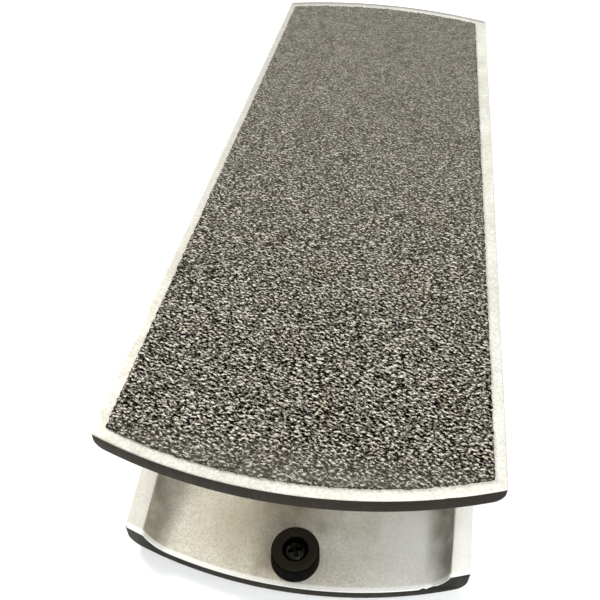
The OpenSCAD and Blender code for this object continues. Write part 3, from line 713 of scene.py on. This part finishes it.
def lathe(profile, place=(0, 0, 0), axis="Z", sides=64, closed=False):
    """A round solid about an axis: profile gives (radius, height). A closed profile makes a ring."""
    bm = bmesh.new()
    turn = Matrix.Translation(place) @ AXES[axis]
    rings = []
    for radius, height in profile:
        ring = []
        for a in circle(sides)[:sides if radius > 0 else 1]:
            ring.append(bm.verts.new(turn @ Vector((radius * math.cos(a), radius * math.sin(a), height))))
        rings.append(ring)
    pairs = list(zip(rings, rings[1:]))
    if closed:
        pairs.append((rings[-1], rings[0]))
    for a, b in pairs:
        for k in range(sides):
            corners = (a[k % len(a)], a[(k + 1) % len(a)], b[(k + 1) % len(b)], b[k % len(b)])
            bm.faces.new(dict.fromkeys(corners))
    bmesh.ops.recalc_face_normals(bm, faces=bm.faces)
    return bm


def turned_ring(corners, place, axis):
    """A turned ring whose section has rounded corners."""
    return lathe(rounded(corners, closed=True), place, axis, closed=True)


def bar(start, end, radius):
    """A closed round bar between two points."""
    start, way = Vector(start), Vector(end) - Vector(start)
    bm = lathe([(0, 0), (radius, 0), (radius, way.length), (0, way.length)], sides=48)
    bm.transform(aimed(start, way))
    return bm


def solid(rings):
    """A closed solid with a skin through rings of points and a flat face on the first and the last."""
    bm = bmesh.new()
    made = [[bm.verts.new(point) for point in ring] for ring in rings]
    for lower, upper in zip(made, made[1:]):
        for (a, b), (c, d) in zip(pairs_round(lower), pairs_round(upper)):
            bm.faces.new((a, b, d, c))
    for ring in (made[0], made[-1]):
        bm.faces.new(ring)
    bmesh.ops.recalc_face_normals(bm, faces=bm.faces)
    return bm


def block(low, high):
    """A closed box between two corners."""
    outline = ((low[0], low[1]), (high[0], low[1]), (high[0], high[1]), (low[0], high[1]))
    return solid([[(x, y, z) for x, y in outline] for z in (low[2], high[2])])


def sweep(path, section):
    """A solid along a path of points; section(k) gives the ring round point k as (aside, up) pairs."""
    rings = []
    side = None
    for k, at in enumerate(path):
        ahead = (path[min(k + 1, len(path) - 1)] - path[max(k - 1, 0)]).normalized()
        if side is None:
            side = ahead.orthogonal().normalized()
        side = (side - ahead * side.dot(ahead)).normalized()
        up = ahead.cross(side)
        rings.append([at + side * a + up * b for a, b in section(k)])
    return solid(rings)


def round_wire(path, radius, sides=10):
    ring = [(radius * math.cos(a), radius * math.sin(a)) for a in circle(sides)]
    return sweep([Vector(p) for p in path], lambda k: ring)


def rope(path, radius, lay=2.2 * MM, strands=3):
    """Twisted cord along a path: strands lie round each other once in each lay."""
    path = [Vector(p) for p in path]
    run = run_of(path)

    def section(k):
        ring = []
        for a in circle(4 * strands):
            r = radius * (0.80 + 0.20 * abs(math.cos(a * strands / 2)))
            turn = a + 2 * math.pi * run[k] / lay
            ring.append((r * math.cos(turn), r * math.sin(turn)))
        return ring

    return sweep(path, section)


def spaced(low, high, step):
    """Even values from low to high, about step apart, both ends included."""
    count = max(1, round((high - low) / step))
    return [low + (high - low) * k / count for k in range(count + 1)]


def node_shape(node):
    """A node's own mesh, with its split corners joined and its flat faces whole."""
    bm = bmesh.new()
    bm.from_mesh(NODES[node].data)
    bmesh.ops.remove_doubles(bm, verts=bm.verts, dist=0.002 * MM)
    bmesh.ops.dissolve_limit(bm, angle_limit=math.radians(0.6), verts=bm.verts, edges=bm.edges)
    return bm


def soften(body, width, *nodes):
    """Nodes with their sharp edges broken by a small round."""
    for node in nodes:
        bm = bevelled(node_shape(node), width, 32, use_clamp_overlap=True)
        new_piece(node + "_shape", bm, body, node, smooth_angle=28)


def dent(bm, place, reach, push):
    """Moves the points near a place by a vector that fades out with distance."""
    for v in bm.verts:
        away = (v.co - Vector(place)).length / reach
        if away < 1:
            v.co += Vector(push) * (1 - away ** 2) ** 2


# ---- bars with arc ends

def end_arc(half_width, heel_corner, toe_corner):
    """Reach in Y of the curved ends, with their corners in plan rounded; end is below 0 at the heel."""
    def reach(x, end):
        corner = heel_corner if end < 0 else toe_corner
        over = abs(x) - (half_width - corner)
        if over <= 0:
            return END_CENTRE + math.sqrt(END_RADIUS ** 2 - x ** 2)
        rise = math.sqrt(END_RADIUS ** 2 - (half_width - corner) ** 2)
        slope = (half_width - corner) / rise
        return END_CENTRE + rise - slope * over - corner + math.sqrt(max(corner ** 2 - over ** 2, 0))
    return reach


def arc_bar(section, reach, stations, edge=0.2 * MM, steps=4):
    """A bar along Y with curved ends. section(t) gives two chains of (x, z) of equal length, which face each
    other across the metal; reach(x, end) is the end's y; edge is the radius of the end's edges. The end
    faces and their edges along the first chain take the second material."""
    angles = [math.radians(90 * k / steps) for k in range(steps + 1)]
    rounding = [(-edge * (1 - math.sin(a)), edge * (1 - math.cos(a))) for a in angles]
    rings = [(-1, *place) for place in reversed(rounding)]
    rings += [(t, 0, 0) for t in stations]
    rings += [(1, *place) for place in rounding]
    bm = bmesh.new()
    made = []
    for t, back, depth in rings:
        first, second = section(t)
        ring = []
        for x, z in inset(first + second[::-1], depth):
            y = t * (reach(x, t) - (edge if abs(t) < 1 else -back))
            ring.append(bm.verts.new((x, y, z)))
        made.append(ring)
    count = len(made[0])
    half = count // 2
    for (t, _, _), (u, _, _), a, b in zip(rings, rings[1:], made, made[1:]):
        for k in range(count):
            face = bm.faces.new((a[k], a[(k + 1) % count], b[(k + 1) % count], b[k]))
            if t == u and k < half:
                face.material_index = 1
    for ring in (made[0], made[-1]):
        for k in range(half - 1):
            face = bm.faces.new((ring[k], ring[k + 1], ring[count - 2 - k], ring[count - 1 - k]))
            face.material_index = 1
    bmesh.ops.recalc_face_normals(bm, faces=bm.faces)
    return bm


# ---- base channel

RAMP_TOP = 10 * MM
RAMP_FOOT = END_CENTRE + math.sqrt(END_RADIUS ** 2 - HALF_BASE ** 2)
JACK_BORE = 4.85 * MM
BRACKET_HEAD = 2.9 * MM
BOARD_HEAD = 1.9 * MM


def channel_section(inner_fillet=6.5 * MM, outer_edge=3 * MM, top_edge=0.4 * MM, end_height=7 * MM):
    """Cross-section of the channel as a function of how far along it is: outer skin and inner skin."""
    peak = base_hi.z - BASE_Z
    slope = (peak - end_height) / (RAMP_FOOT - RAMP_TOP)
    count = 46

    def wall_top(t):
        y = abs(t) * RAMP_FOOT
        return BASE_Z + (peak if y <= RAMP_TOP else peak - slope * (y - RAMP_TOP))

    def sampled(points):
        """The same number of points on every section, evenly along the skin."""
        points = [Vector(p) for p in points]
        run = run_of(points)
        spots = []
        k = 0
        for j in range(count):
            want = run[-1] * j / (count - 1)
            while k < len(run) - 2 and run[k + 1] < want:
                k += 1
            share = (want - run[k]) / max(run[k + 1] - run[k], 1e-12)
            spots.append(tuple(points[k].lerp(points[k + 1], min(share, 1))))
        return spots

    def half_skin(wall_x, floor_z, radius, top, sign):
        """Right half from the middle of the floor, round the corner and up to the rounded top edge."""
        middle = (wall_x - radius, floor_z + radius)
        straight_top = top - top_edge
        last = math.asin(max(-1, (min(straight_top, middle[1]) - middle[1]) / radius))
        points = [(0, floor_z)] + [(wall_x * k / 8, floor_z) for k in range(1, 7)]
        for k in range(13):
            a = -math.pi / 2 + (last + math.pi / 2) * k / 12
            points.append((middle[0] + radius * math.cos(a), middle[1] + radius * math.sin(a)))
        if straight_top > middle[1]:
            points.append((wall_x, straight_top))
        x = points[-1][0]
        lip = []
        for k in range(1, 5):
            a = math.radians(90 * k / 4)
            lip.append((x + sign * top_edge * (1 - math.cos(a)), straight_top + top_edge * math.sin(a)))
        return sampled(points) + lip

    def section(t):
        top = wall_top(t)
        outer = half_skin(HALF_BASE, BASE_Z, outer_edge, top, -1)
        inner = half_skin(INNER_WALL, FLOOR_Z, inner_fillet, top, 1)
        left = [[(-x, z) for x, z in chain[:0:-1]] for chain in (outer, inner)]
        return left[0] + outer, left[1] + inner

    return section


def screw_places(node, radius):
    """Axes of two upright screws in a row along Y, from the node's box and the radius of a head."""
    low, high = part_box(node)
    x = (low.x + high.x) / 2
    return [(x, low.y + radius), (x, high.y - radius)]


def upright_bore(x, y, radius):
    """A cutter for a hole through the channel's floor."""
    return bar((x, y, 0), (x, y, FLOOR_Z + MM), radius)


def build_base():
    """The channel: an extrusion with curved ends, ramped walls, bores, and a seat milled for each jack."""
    corner = 0.3 * MM
    shaft_bore = 3.2 * MM
    stop_thread = 1.42 * MM
    board_thread = 1.1 * MM
    flat = RAMP_TOP / RAMP_FOOT
    stations = sorted([side * t for side in (-1, 1) for t in spaced(flat, 0.985, 0.04)] + [0])
    bm = arc_bar(channel_section(), end_arc(HALF_BASE, corner, corner), stations)
    burr = 33 * MM
    lip = END_CENTRE + math.sqrt(END_RADIUS ** 2 - burr ** 2)
    dent(bm, (burr, -lip, FLOOR_Z + 0.6 * MM), 1.3 * MM, (0, 0.5 * MM, -0.35 * MM))
    dent(bm, (burr - 2 * MM, -lip - 0.4 * MM, FLOOR_Z), 0.9 * MM, (0, 0.3 * MM, 0.25 * MM))
    jack = centre("input_jack_washer")
    frame_low, frame_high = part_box("input_jack_frame")
    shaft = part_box("pivot_shaft")
    beyond = 60 * MM
    cutters = [
        bar((shaft[0].x, 0, PIVOT.z), (shaft[1].x, 0, PIVOT.z), shaft_bore),
        bar((-beyond, jack.y, jack.z), (beyond, jack.y, jack.z), JACK_BORE),
    ]
    for side in (-1, 1):
        near, far = sorted((side * (INNER_WALL - 8 * MM), side * INNER_WALL))
        low = (near, frame_low.y - 0.5 * MM, frame_low.z - 0.1 * MM)
        cutters.append(block(low, (far, frame_high.y + 0.5 * MM, jack.z + 5 * MM)))
    for end in ("heel", "toe"):
        stop = centre(end + "_bumper")
        cutters.append(upright_bore(stop.x, stop.y, stop_thread))
    cone = mm((0, -1), (4, -1), (1.6, 1.4), (1.6, 9), (0, 9))
    for x, y in screw_places("bracket_screws", BRACKET_HEAD):
        cutters.append(lathe(cone, (x, y, BASE_Z), sides=40))
    for x, y in screw_places("board_screws", BOARD_HEAD):
        cutters.append(upright_bore(x, y, board_thread))
    new_piece("channel", carve(bm, cutters), "base", "base_channel", materials=["base_metal", "base_cut"])


def build_feet(radius=7 * MM):
    """Four stick-on rubber pads with rounded rims."""
    low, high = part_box("base_feet")
    corners = [(0, low.z, 0), (radius - 0.1 * MM, low.z, 0.4 * MM), (radius, high.z, 0.05 * MM)]
    outline = rounded(corners + [(0, high.z, 0)])
    bm = bmesh.new()
    for x in (low.x + radius, high.x - radius):
        for y in (low.y + radius, high.y - radius):
            add(bm, lathe(outline, (x, y, 0)))
    new_piece("rubber_feet", bm, "base", "base_feet", materials=["foot_rubber"])


# ---- treadle

def plate_section(lower_edge=2.4 * MM, top_edge=0.35 * MM, corner=2 * MM):
    """Cross-section of the foot plate: underside and top, at the same places across."""
    sides = [HALF_PLATE - corner * k / 8 for k in range(9)]
    for radius in (lower_edge, top_edge):
        sides += [HALF_PLATE - radius * (1 - math.cos(math.radians(90 * k / 8))) for k in range(9)]
    middle = spaced(0, HALF_PLATE - lower_edge, 1.6 * MM)
    across = sorted({round(x, 6) for x in sides + middle})
    across = [-x for x in across[:0:-1]] + across

    def drop(x, radius):
        over = max(abs(x) - (HALF_PLATE - radius), 0)
        return radius - math.sqrt(max(radius ** 2 - over ** 2, 0))

    under = [(x, PLATE_BOTTOM + drop(x, lower_edge)) for x in across]
    top = [(x, PLATE_TOP - drop(x, top_edge)) for x in across]
    return lambda t: (under, top)


def rib(side):
    """One of the two ribs under the plate: a low web that swells to a boss round the pivot."""
    inner = reach_x(("right" if side > 0 else "left") + "_bushing")[0]
    thickness = 4 * MM
    bushing_bore = 4.76 * MM
    boss = -treadle_lo.z
    foot = 38 * MM
    root = PLATE_BOTTOM + 1.5 * MM
    far = math.hypot(foot, PLATE_BOTTOM)
    touch = math.atan2(PLATE_BOTTOM, foot) - math.acos(boss / far)
    outline = [(foot, PLATE_BOTTOM)]
    count = 40
    for k in range(count + 1):
        a = touch + (-math.pi - 2 * touch) * k / count
        outline.append((boss * math.cos(a), boss * math.sin(a)))
    outline += [(-foot, PLATE_BOTTOM), (-foot, root), (foot, root)]
    bm = solid([[(side * x, y, z) for y, z in outline] for x in (inner, inner + thickness)])
    bore = bar((side * (inner - MM), 0, 0), (side * (inner + 2 * thickness), 0, 0), bushing_bore)
    return bevelled(carve(bm, [bore]), 0.35 * MM, 40)


def build_treadle():
    """The foot plate, with a nick in its heel edge, and the two ribs that carry the bushings."""
    reach = end_arc(HALF_PLATE, 0.3 * MM, 1.8 * MM)
    bm = arc_bar(plate_section(), reach, spaced(-0.985, 0.985, 0.03))
    nick = 31 * MM
    dent(bm, (nick, -reach(nick, -1), PLATE_TOP), 1.1 * MM, (0, 0.35 * MM, -0.3 * MM))
    for side in (-1, 1):
        add(bm, rib(side))
    bm.transform(TREADLE)
    new_piece("foot_plate", bm, "treadle", "treadle", materials=["treadle_metal", "treadle_cut"])


# ---- grip sheet

def grain_field(rng, rows, columns):
    """Height and tone, each 0..1, of the points of a grid covered with grains of random place and size."""
    stand = np.zeros((rows, columns))
    tint = np.full((rows, columns), 0.3)
    grains = int(rows * columns * 0.8)
    row = rng.uniform(0, rows - 1, grains)
    column = rng.uniform(0, columns - 1, grains)
    height = rng.beta(2.2, 2.0, grains)
    size = rng.uniform(0.8, 1.35, grains)
    tone = rng.uniform(0, 1, grains)
    for dr in range(-2, 3):
        for dc in range(-2, 3):
            r = np.rint(row).astype(int) + dr
            c = np.rint(column).astype(int) + dc
            inside = (r >= 0) & (r < rows) & (c >= 0) & (c < columns)
            away = np.hypot(r - row, (c - column) * 0.8) / size
            crown = height * (1 - away ** 2)
            for k in np.nonzero(inside & (crown > 0))[0]:
                if crown[k] > stand[r[k], c[k]]:
                    stand[r[k], c[k]] = crown[k]
                    tint[r[k], c[k]] = tone[k]
    low, high = np.percentile(stand, [4, 97])
    return np.clip((stand - low) / (high - low), 0, 1), tint


def build_grip(step=0.46 * MM, depth=0.62 * MM):
    """A sheet of mineral grains with ragged edges, on a thin backing glued to the plate."""
    jitter = 0.14
    ragged = 0.09 * MM
    edge_top = GRIP_TOP - 0.45 * MM
    glue = PLATE_TOP - 0.02 * MM
    rng = np.random.default_rng(23)
    columns = round(2 * HALF_GRIP / step) + 1
    rows = round((grip_hi.y - grip_lo.y) / step) + 1
    along = np.linspace(0, 1, rows)[:, None]
    right = HEEL_CORNER.x + (TOE_CORNER.x - HEEL_CORNER.x) * along
    x = -HALF_GRIP + (right + HALF_GRIP) * np.linspace(0, 1, columns)
    bow = np.sqrt(GRIP_RADIUS ** 2 - x ** 2)
    heel = -END_CENTRE - bow
    toe = grip_hi.y - GRIP_RADIUS + bow
    stand, tint = grain_field(rng, rows, columns)
    xs = x + rng.uniform(-jitter, jitter, stand.shape) * step
    ys = heel + (toe - heel) * along + rng.uniform(-jitter, jitter, stand.shape) * step
    zs = GRIP_TOP - depth + depth * stand
    for at in (0, -1):
        ys[at] += rng.normal(0, ragged, columns)
        xs[:, at] += rng.normal(0, ragged, rows)
        zs[at] = np.minimum(zs[at], edge_top)
        zs[:, at] = np.minimum(zs[:, at], edge_top)
    bm = bmesh.new()
    top = [[bm.verts.new((xs[i, j], ys[i, j], zs[i, j])) for j in range(columns)] for i in range(rows)]
    rim = top[0] + [row[-1] for row in top[1:]] + top[-1][-2::-1] + [row[0] for row in top[-2:0:-1]]
    foot = {v: bm.verts.new((v.co.x, v.co.y, glue)) for v in rim}
    for i in range(rows - 1):
        for j in range(columns - 1):
            bm.faces.new((top[i][j], top[i][j + 1], top[i + 1][j + 1], top[i + 1][j]))
    for a, b in pairs_round(rim):
        bm.faces.new((b, a, foot[a], foot[b]))
    for i in range(1, rows - 2):
        bm.faces.new((foot[top[i][0]], foot[top[i + 1][0]], foot[top[i + 1][-1]], foot[top[i][-1]]))
    for row, nearest in ((0, 1), (rows - 1, rows - 2)):
        fan = [foot[v] for v in top[row]]
        bm.faces.new(fan + [foot[top[nearest][-1]], foot[top[nearest][0]]])
    bm.transform(TREADLE)
    piece = new_piece("grit_sheet", bm, "treadle", "grip_sheet", smooth_angle=180)
    for key, values in (("stand", stand), ("tint", tint)):
        layer = piece.data.attributes.new(key, "FLOAT", "POINT")
        on_foot = np.zeros(len(rim))
        layer.data.foreach_set("value", np.concatenate([values.ravel(), on_foot]).astype(np.float32))


# ---- stops, screws and posts

def pan_head(radius, height):
    """Profile of a pan head that stands on 0, from its seat's edge to its top."""
    profile = [(radius * 0.96, 0), (radius, height * 0.08)]
    for k in range(8):
        a = math.radians(90 * k / 8)
        profile.append((radius * math.cos(a), height * (0.4 + 0.6 * math.sin(a))))
    return profile + [(0, height)]


def thread(radius, low, high, pitch=0.5 * MM):
    """Profile of a threaded shank, crest by crest, from low to high."""
    profile = [(0, low), (radius * 0.7, low)]
    for z in spaced(low + pitch / 2, high - pitch / 2, pitch / 2)[:-1]:
        crest = len(profile) % 2 == 0
        profile.append((radius if crest else radius * 0.86, z))
    return profile + [(radius * 0.9, high)]


def cross_screw(profile, recess, turn):
    """A turned screw along Z, and the tapered cross in its top: top, arm, width and depth in millimetres."""
    top, arm, width, depth = mm(recess)[0]
    w = width / 2
    cross = []
    for c, s in ((1, 0), (0, 1), (-1, 0), (0, -1)):
        cross += [(x * c - y * s, x * s + y * c) for x, y in ((arm, w), (w, w), (w, arm))]
    levels = ((top + MM, 1.0), (top, 1.0), (top - depth, 0.5))
    tool = solid([[(x * share, y * share, z) for x, y in cross] for z, share in levels])
    tool.transform(Matrix.Rotation(turn, 4, "Z"))
    return carve(lathe(profile, sides=48), [tool])


def build_stops():
    """A rubber stop with a sunk pan-head screw at each end of the channel."""
    bore = 1.5 * MM
    for end, turn in (("heel", math.radians(20)), ("toe", math.radians(65))):
        low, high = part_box(end + "_bumper")
        middle = (low + high) / 2
        radius = (high.x - low.x) / 2
        height = high.z - low.z
        seat = height - 2.4 * MM
        corners = [(bore, 0, 0), (radius, 0, 0.3 * MM), (radius - 0.15 * MM, height, 1.1 * MM),
                   (3.1 * MM, height, 0.35 * MM), (3.0 * MM, seat, 0.2 * MM), (bore, seat, 0)]
        outline = rounded(corners, closed=True, steps=5)
        bm = lathe(outline, (middle.x, middle.y, low.z), sides=80, closed=True)
        new_piece(end + "_stop", bm, "base", end + "_bumper")
        shank = thread(1.4 * MM, BASE_Z - low.z - seat + 0.3 * MM, 0)
        bm = cross_screw(shank + pan_head(2.8 * MM, 1.75 * MM), (1.75, 1.9, 0.85, 1.3), turn)
        bm.transform(shifted(middle.x, middle.y, low.z + seat))
        new_piece(end + "_stop_screw", bm, "base", end + "_bumper_screw")


def build_small_screws():
    """The bracket's countersunk screws and the board's pan heads."""
    board_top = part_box("taper_board")[1].z
    sunk = thread(1.25 * MM, -5.5 * MM, -1.5 * MM) + mm((2.9, -0.05), (2.85, 0), (0, 0))
    pan = thread(1.08 * MM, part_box("board_screws")[0].z - board_top, 0) + pan_head(BOARD_HEAD, 1.2 * MM)
    kinds = (
        ("bracket", BRACKET_HEAD, sunk, (0, 1.5, 0.7, 0.9), (0.4, 0.4), BASE_Z, "-Z"),
        ("board", BOARD_HEAD, pan, (1.2, 1.2, 0.6, 0.8), (0.3, 1.3), board_top, "Z"),
    )
    for kind, head_radius, profile, recess, turns, z, axis in kinds:
        bm = bmesh.new()
        for (x, y), turn in zip(screw_places(kind + "_screws", head_radius), turns):
            add(bm, cross_screw(profile, recess, turn), shifted(x, y, z) @ AXES[axis])
        new_piece(kind + "_fixings", bm, "base", kind + "_screws")


def build_posts():
    """The two shouldered screws under the plate that hold the cord and the spring."""
    body = mm((1.2, 0, 0), (3, 0, 0.1), (3, 0.3, 0.1), (1.3, 0.3, 0), (1.3, 4.3, 0), (2.6, 4.3, 0.2),
              (2.6, 5.5, 0.4), (0, 5.5, 0))
    profile = thread(1.2 * MM, -2.7 * MM, 0) + rounded(body)
    for node in ("heel_cord_post", "toe_spring_post"):
        low, high = level_box(node)
        middle = (low + high) / 2
        bm = cross_screw(profile, (5.5, 1.5, 0.7, 0.9), 0.7)
        bm.transform(TREADLE @ shifted(middle.x, middle.y, PLATE_BOTTOM) @ AXES["-Z"])
        new_piece(node + "_shape", bm, "treadle", node)


# ---- pivot, jacks and potentiometer

def build_pivot():
    """The cross shaft with its grooves, the nylon spacers and the flanged bushings."""
    low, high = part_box("pivot_shaft")
    radius = (high.z - low.z) / 2
    groove = 2.4 * MM
    chamfer = 0.45 * MM
    clip = reach_x("right_shaft_clip")
    corners = [(0, -high.x, 0), (radius, -high.x, chamfer)]
    for start, end in ((-clip[1], -clip[0]), clip):
        corners += [(radius, start, 0.1 * MM), (groove, start, 0), (groove, end, 0), (radius, end, 0.1 * MM)]
    corners += [(radius, high.x, chamfer), (0, high.x, 0)]
    new_piece("shaft", lathe(rounded(corners), PIVOT, "X", sides=72), "base", "pivot_shaft")
    bore, tube, flange = radius + 0.05 * MM, 4.75 * MM, 6.5 * MM
    for side, axis in (("left", "-X"), ("right", "X")):
        bm = washer(side + "_spacer", radius + 0.08 * MM, 6 * MM, (0.2, 0.25, 0.25, 0.2), PIVOT, axis)
        new_piece(side + "_spacer_ring", bm, "base", side + "_spacer")
        near, far = reach_x(side + "_bushing")
        step = far - 1.2 * MM
        ring = [(bore, near, 0.2 * MM), (tube, near, 0.3 * MM), (tube, step, 0), (flange, step, 0.15 * MM),
                (flange, far, 0.3 * MM), (bore, far, 0.3 * MM)]
        new_piece(side + "_bearing", turned_ring(ring, PIVOT, axis), "treadle", side + "_bushing")
        soften("base", 0.12 * MM, side + "_shaft_clip")


def washer(node, bore, radius, edges, place, axis):
    """A flat ring as deep as a node, with its edges rounded by radii in millimetres."""
    near, far = reach_x(node)
    corners = ((bore, near), (radius, near), (radius, far), (bore, far))
    return turned_ring([(*corner, edge * MM) for corner, edge in zip(corners, edges)], place, axis)


def nut(near, far, flats, bore, place, axis):
    """A hexagon nut along an axis, chamfered on its far side and at its bore."""
    corner = flats / 2 / math.cos(math.radians(30))
    chamfer = (corner - flats / 2) * 0.6
    ring = [(bore, near), (corner, near), (corner, far - chamfer), (flats / 2 - 0.2 * MM, far),
            (bore + 0.35 * MM, far), (bore, far - 0.3 * MM)]
    around = [(corner, near - MM), (2 * corner, near - MM), (2 * corner, far + MM), (corner, far + MM)]
    return carve(lathe(ring, place, axis, closed=True), [lathe(around, place, axis, sides=6, closed=True)])


def build_jacks():
    """Washer, nut, frame, contact leaf and insulators of both jacks."""
    for kind in ("input", "output"):
        jack = kind + "_jack_"
        middle = centre(jack + "washer")
        axis = "X" if middle.x > 0 else "-X"
        place = (0, middle.y, middle.z)
        bm = washer(jack + "washer", JACK_BORE, 7 * MM, (0.1, 0.1, 0.25, 0.1), place, axis)
        new_piece(kind + "_washer", bm, "base", jack + "washer")
        bm = nut(*reach_x(jack + "nut"), 12.7 * MM, 4.77 * MM, place, axis)
        new_piece(kind + "_nut", bm, "base", jack + "nut")
        soften("base", 0.12 * MM, jack + "frame", jack + "contact", jack + "insulators")


def build_pot():
    """The pot's own parts and its bracket, with their edges broken, and its nut."""
    still = ("bracket", "front", "can", "wafer", "terminals", "washer")
    soften("base", 0.15 * MM, *["pot_" + part for part in still])
    soften("pot_drum", 0.12 * MM, "pot_shaft", "pot_rotor", "cord_drum", "drum_set_screw")
    middle = centre("pot_nut")
    low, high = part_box("pot_nut")
    bm = nut(low.x, high.x, 10 * MM, 3.52 * MM, (0, middle.y, middle.z), "X")
    new_piece("pot_nut_shape", bm, "base", "pot_nut")


# ---- cord and spring

def build_cord():
    """Twisted cord: between two and three turns on the drum, a run to each side and an eye at each end."""
    drum = centre("cord_drum")
    heel = ends_of("cord_heel_run")[::-1]
    toe = ends_of("cord_toe_run")
    low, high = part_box("cord_heel_run")
    radius = (high.x - low.x) / 2
    leaves = []
    for start, end in (heel, toe):
        way = (end - start).normalized()
        hub = Vector((start.x, drum.y, drum.z))
        leaves.append(start + way * way.dot(hub - start))
    spots = [leaf - Vector((leaf.x, drum.y, drum.z)) for leaf in leaves]
    loop = spots[0].length
    angles = [math.atan2(spot.z, spot.y) for spot in spots]
    whole = (angles[1] - angles[0]) % (2 * math.pi) + 4 * math.pi
    turns = []
    for k in range(120):
        share = k / 119
        a = angles[0] + whole * share
        x = leaves[0].x + (leaves[1].x - leaves[0].x) * share
        turns.append((x, drum.y + loop * math.cos(a), drum.z + loop * math.sin(a)))
    new_piece("cord_on_drum", rope(turns, radius), "pot_drum", "cord_turns", smooth_angle=60)

    up = (TREADLE.to_3x3() @ Vector((0, 0, 1))).normalized()
    wide, tall = 2 * radius, 1.1 * MM
    knot = rounded([(0, -tall, 0), (wide, -MM, 0.4 * MM), (wide, MM, 0.4 * MM), (0, tall, 0)])
    spring_end = ends_of("tension_spring")[1]
    runs = (
        ("heel", leaves[0], heel, heel[1], 1.75 * MM, 40),
        ("toe", leaves[1], toe, spring_end, 1.3 * MM, 32),
    )
    for kind, leaf, (start, end), held_at, eye, count in runs:
        way = (end - start).normalized()
        across = way.cross(up).normalized() if kind == "heel" else up.cross(way)
        first = leaf - way * 0.3 * MM
        shares = spaced(0, 1, 0.25 * MM / (end - first).length)
        run = rope([first.lerp(end, share) for share in shares], radius)
        middle = end + way * eye
        ring = [middle + eye * (math.cos(a) * -way + math.sin(a) * across) for a in circle(count, True)]
        add(run, rope(ring, radius))
        add(run, lathe(knot, sides=24), aimed(end - way * 1.2 * MM, way))
        piece = new_piece(kind + "_cord", run, None, "cord_" + kind + "_run", smooth_angle=60)
        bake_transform(piece)
    build_spring(toe)


def build_spring(cord):
    """Extension spring in line with the cord's toe run, with an open ring and tapered coils at each end."""
    way = (cord[1] - cord[0]).normalized()
    along = [v.co @ way for v in NODES["tension_spring"].data.vertices]
    wire, ring_r, coil_r, lead = 0.3 * MM, 1.9 * MM, 2 * MM, 1.9 * MM
    anchor = cord[1] - way * (cord[1] @ way)
    near, far = min(along) + wire + ring_r, max(along) - wire - ring_r
    lift = Vector((1, 0, 0)).cross(way)
    per_turn = 16
    count = 16 * per_turn

    def hook(middle, first, step):
        """Nine points round an end ring, from an angle in degrees on."""
        angles = [math.radians(first + step * k) for k in range(9)]
        return [anchor + way * (middle + ring_r * math.sin(a)) + Vector((ring_r * math.cos(a), 0, 0))
                for a in angles]

    coils = []
    for k in range(count + 1):
        a = 2 * math.pi * k / per_turn
        w = coil_r * min(1, k / 8, (count - k) / 8)
        reach = near + ring_r + lead + (far - near - 2 * (ring_r + lead)) * k / count
        coils.append(anchor + way * reach + Vector((w * math.sin(a), 0, 0)) + lift * w * math.cos(a))
    spring = round_wire(hook(near, 330, -30) + coils + hook(far, -90, 30), wire)
    piece = new_piece("coil_spring", spring, None, "tension_spring", smooth_angle=60)
    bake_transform(piece)


# ---- board and wiring

def build_board():
    """The taper board with its switch, standoffs, a resistor, a capacitor and the joints that hold them."""
    soften("base", 0.15 * MM, "taper_board", "board_standoffs", "taper_switch_body")
    soften("taper_lever", 0.2 * MM, "taper_switch_lever")
    low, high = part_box("taper_board")
    top = high.z
    left = low.x + 3 * MM
    x = left + 2.3 * MM
    y = (low.y + high.y) / 2
    body = mm((0, -2.6, 0), (0.9, -2.6, 0.35), (0.9, -1.6, 0.3), (0.72, -1.3, 0.3), (0.72, 1.3, 0.3),
              (0.9, 1.6, 0.3), (0.9, 2.6, 0.35), (0, 2.6, 0))
    bm = lathe(rounded(body), sides=32)
    bm.transform(shifted(x, y, top + 1.1 * MM) @ Matrix.Rotation(math.pi / 2, 4, "X"))
    new_piece("board_resistor", bm, "base", slot="phenolic")
    bm = block((left + 8 * MM, y + 4.8 * MM, top), (left + 12.5 * MM, y + 7 * MM, top + 3.4 * MM))
    bm = changed(bm, "BEVEL", width=0.4 * MM, segments=3, limit_method="ANGLE")
    new_piece("board_capacitor", bm, "base", slot="yellow_wire")
    leads = bmesh.new()
    bend = mm((2.5, 1.1), (3.3, 1.1), (3.8, 0.6), (3.8, -0.1))
    joint = mm((0, 0), (0.85, 0), (0.6, 0.25), (0.32, 0.6), (0, 0.7))
    for side in (-1, 1):
        add(leads, round_wire([(x, y + side * away, top + height) for away, height in bend], 0.25 * MM, 8))
        add(leads, lathe(joint, (x, y + side * 3.8 * MM, top - 0.02 * MM), sides=20))
    new_piece("board_leads", leads, "base", slot="plated_steel")


def build_wires():
    """Round hook-up wires, with a drop of solder where each one ends."""
    solder = bmesh.new()
    drop = mm((0, -0.8), (0.6, -0.65), (0.95, 0), (0.6, 0.65), (0, 0.8))
    for node in ("input_wire", "output_wire", "ground_link_wire", "ground_wire", "taper_wire"):
        bm = node_shape(node)
        for face in bm.faces:
            middle = face.calc_center_median()
            if len(face.verts) >= 8 and max((v.co - middle).length for v in face.verts) < 0.75 * MM:
                add(solder, lathe(drop, middle, sides=20))
        bm = changed(bm, "SUBSURF", levels=1, subdivision_type="CATMULL_CLARK")
        new_piece(node + "_shape", bm, "base", node, smooth_angle=60)
    new_piece("solder_joints", solder, "base", slot="plated_steel", smooth_angle=60)


# ---- making everything

add_camera()
add_studio()
for node, thing in NODES.items():
    thing.data.materials.clear()
    thing.data.materials.append(MATERIALS[SLOT_OF[node]])
build_base()
build_feet()
build_treadle()
build_grip()
build_stops()
build_small_screws()
build_posts()
build_pivot()
build_jacks()
build_pot()
build_cord()
build_board()
build_wires()
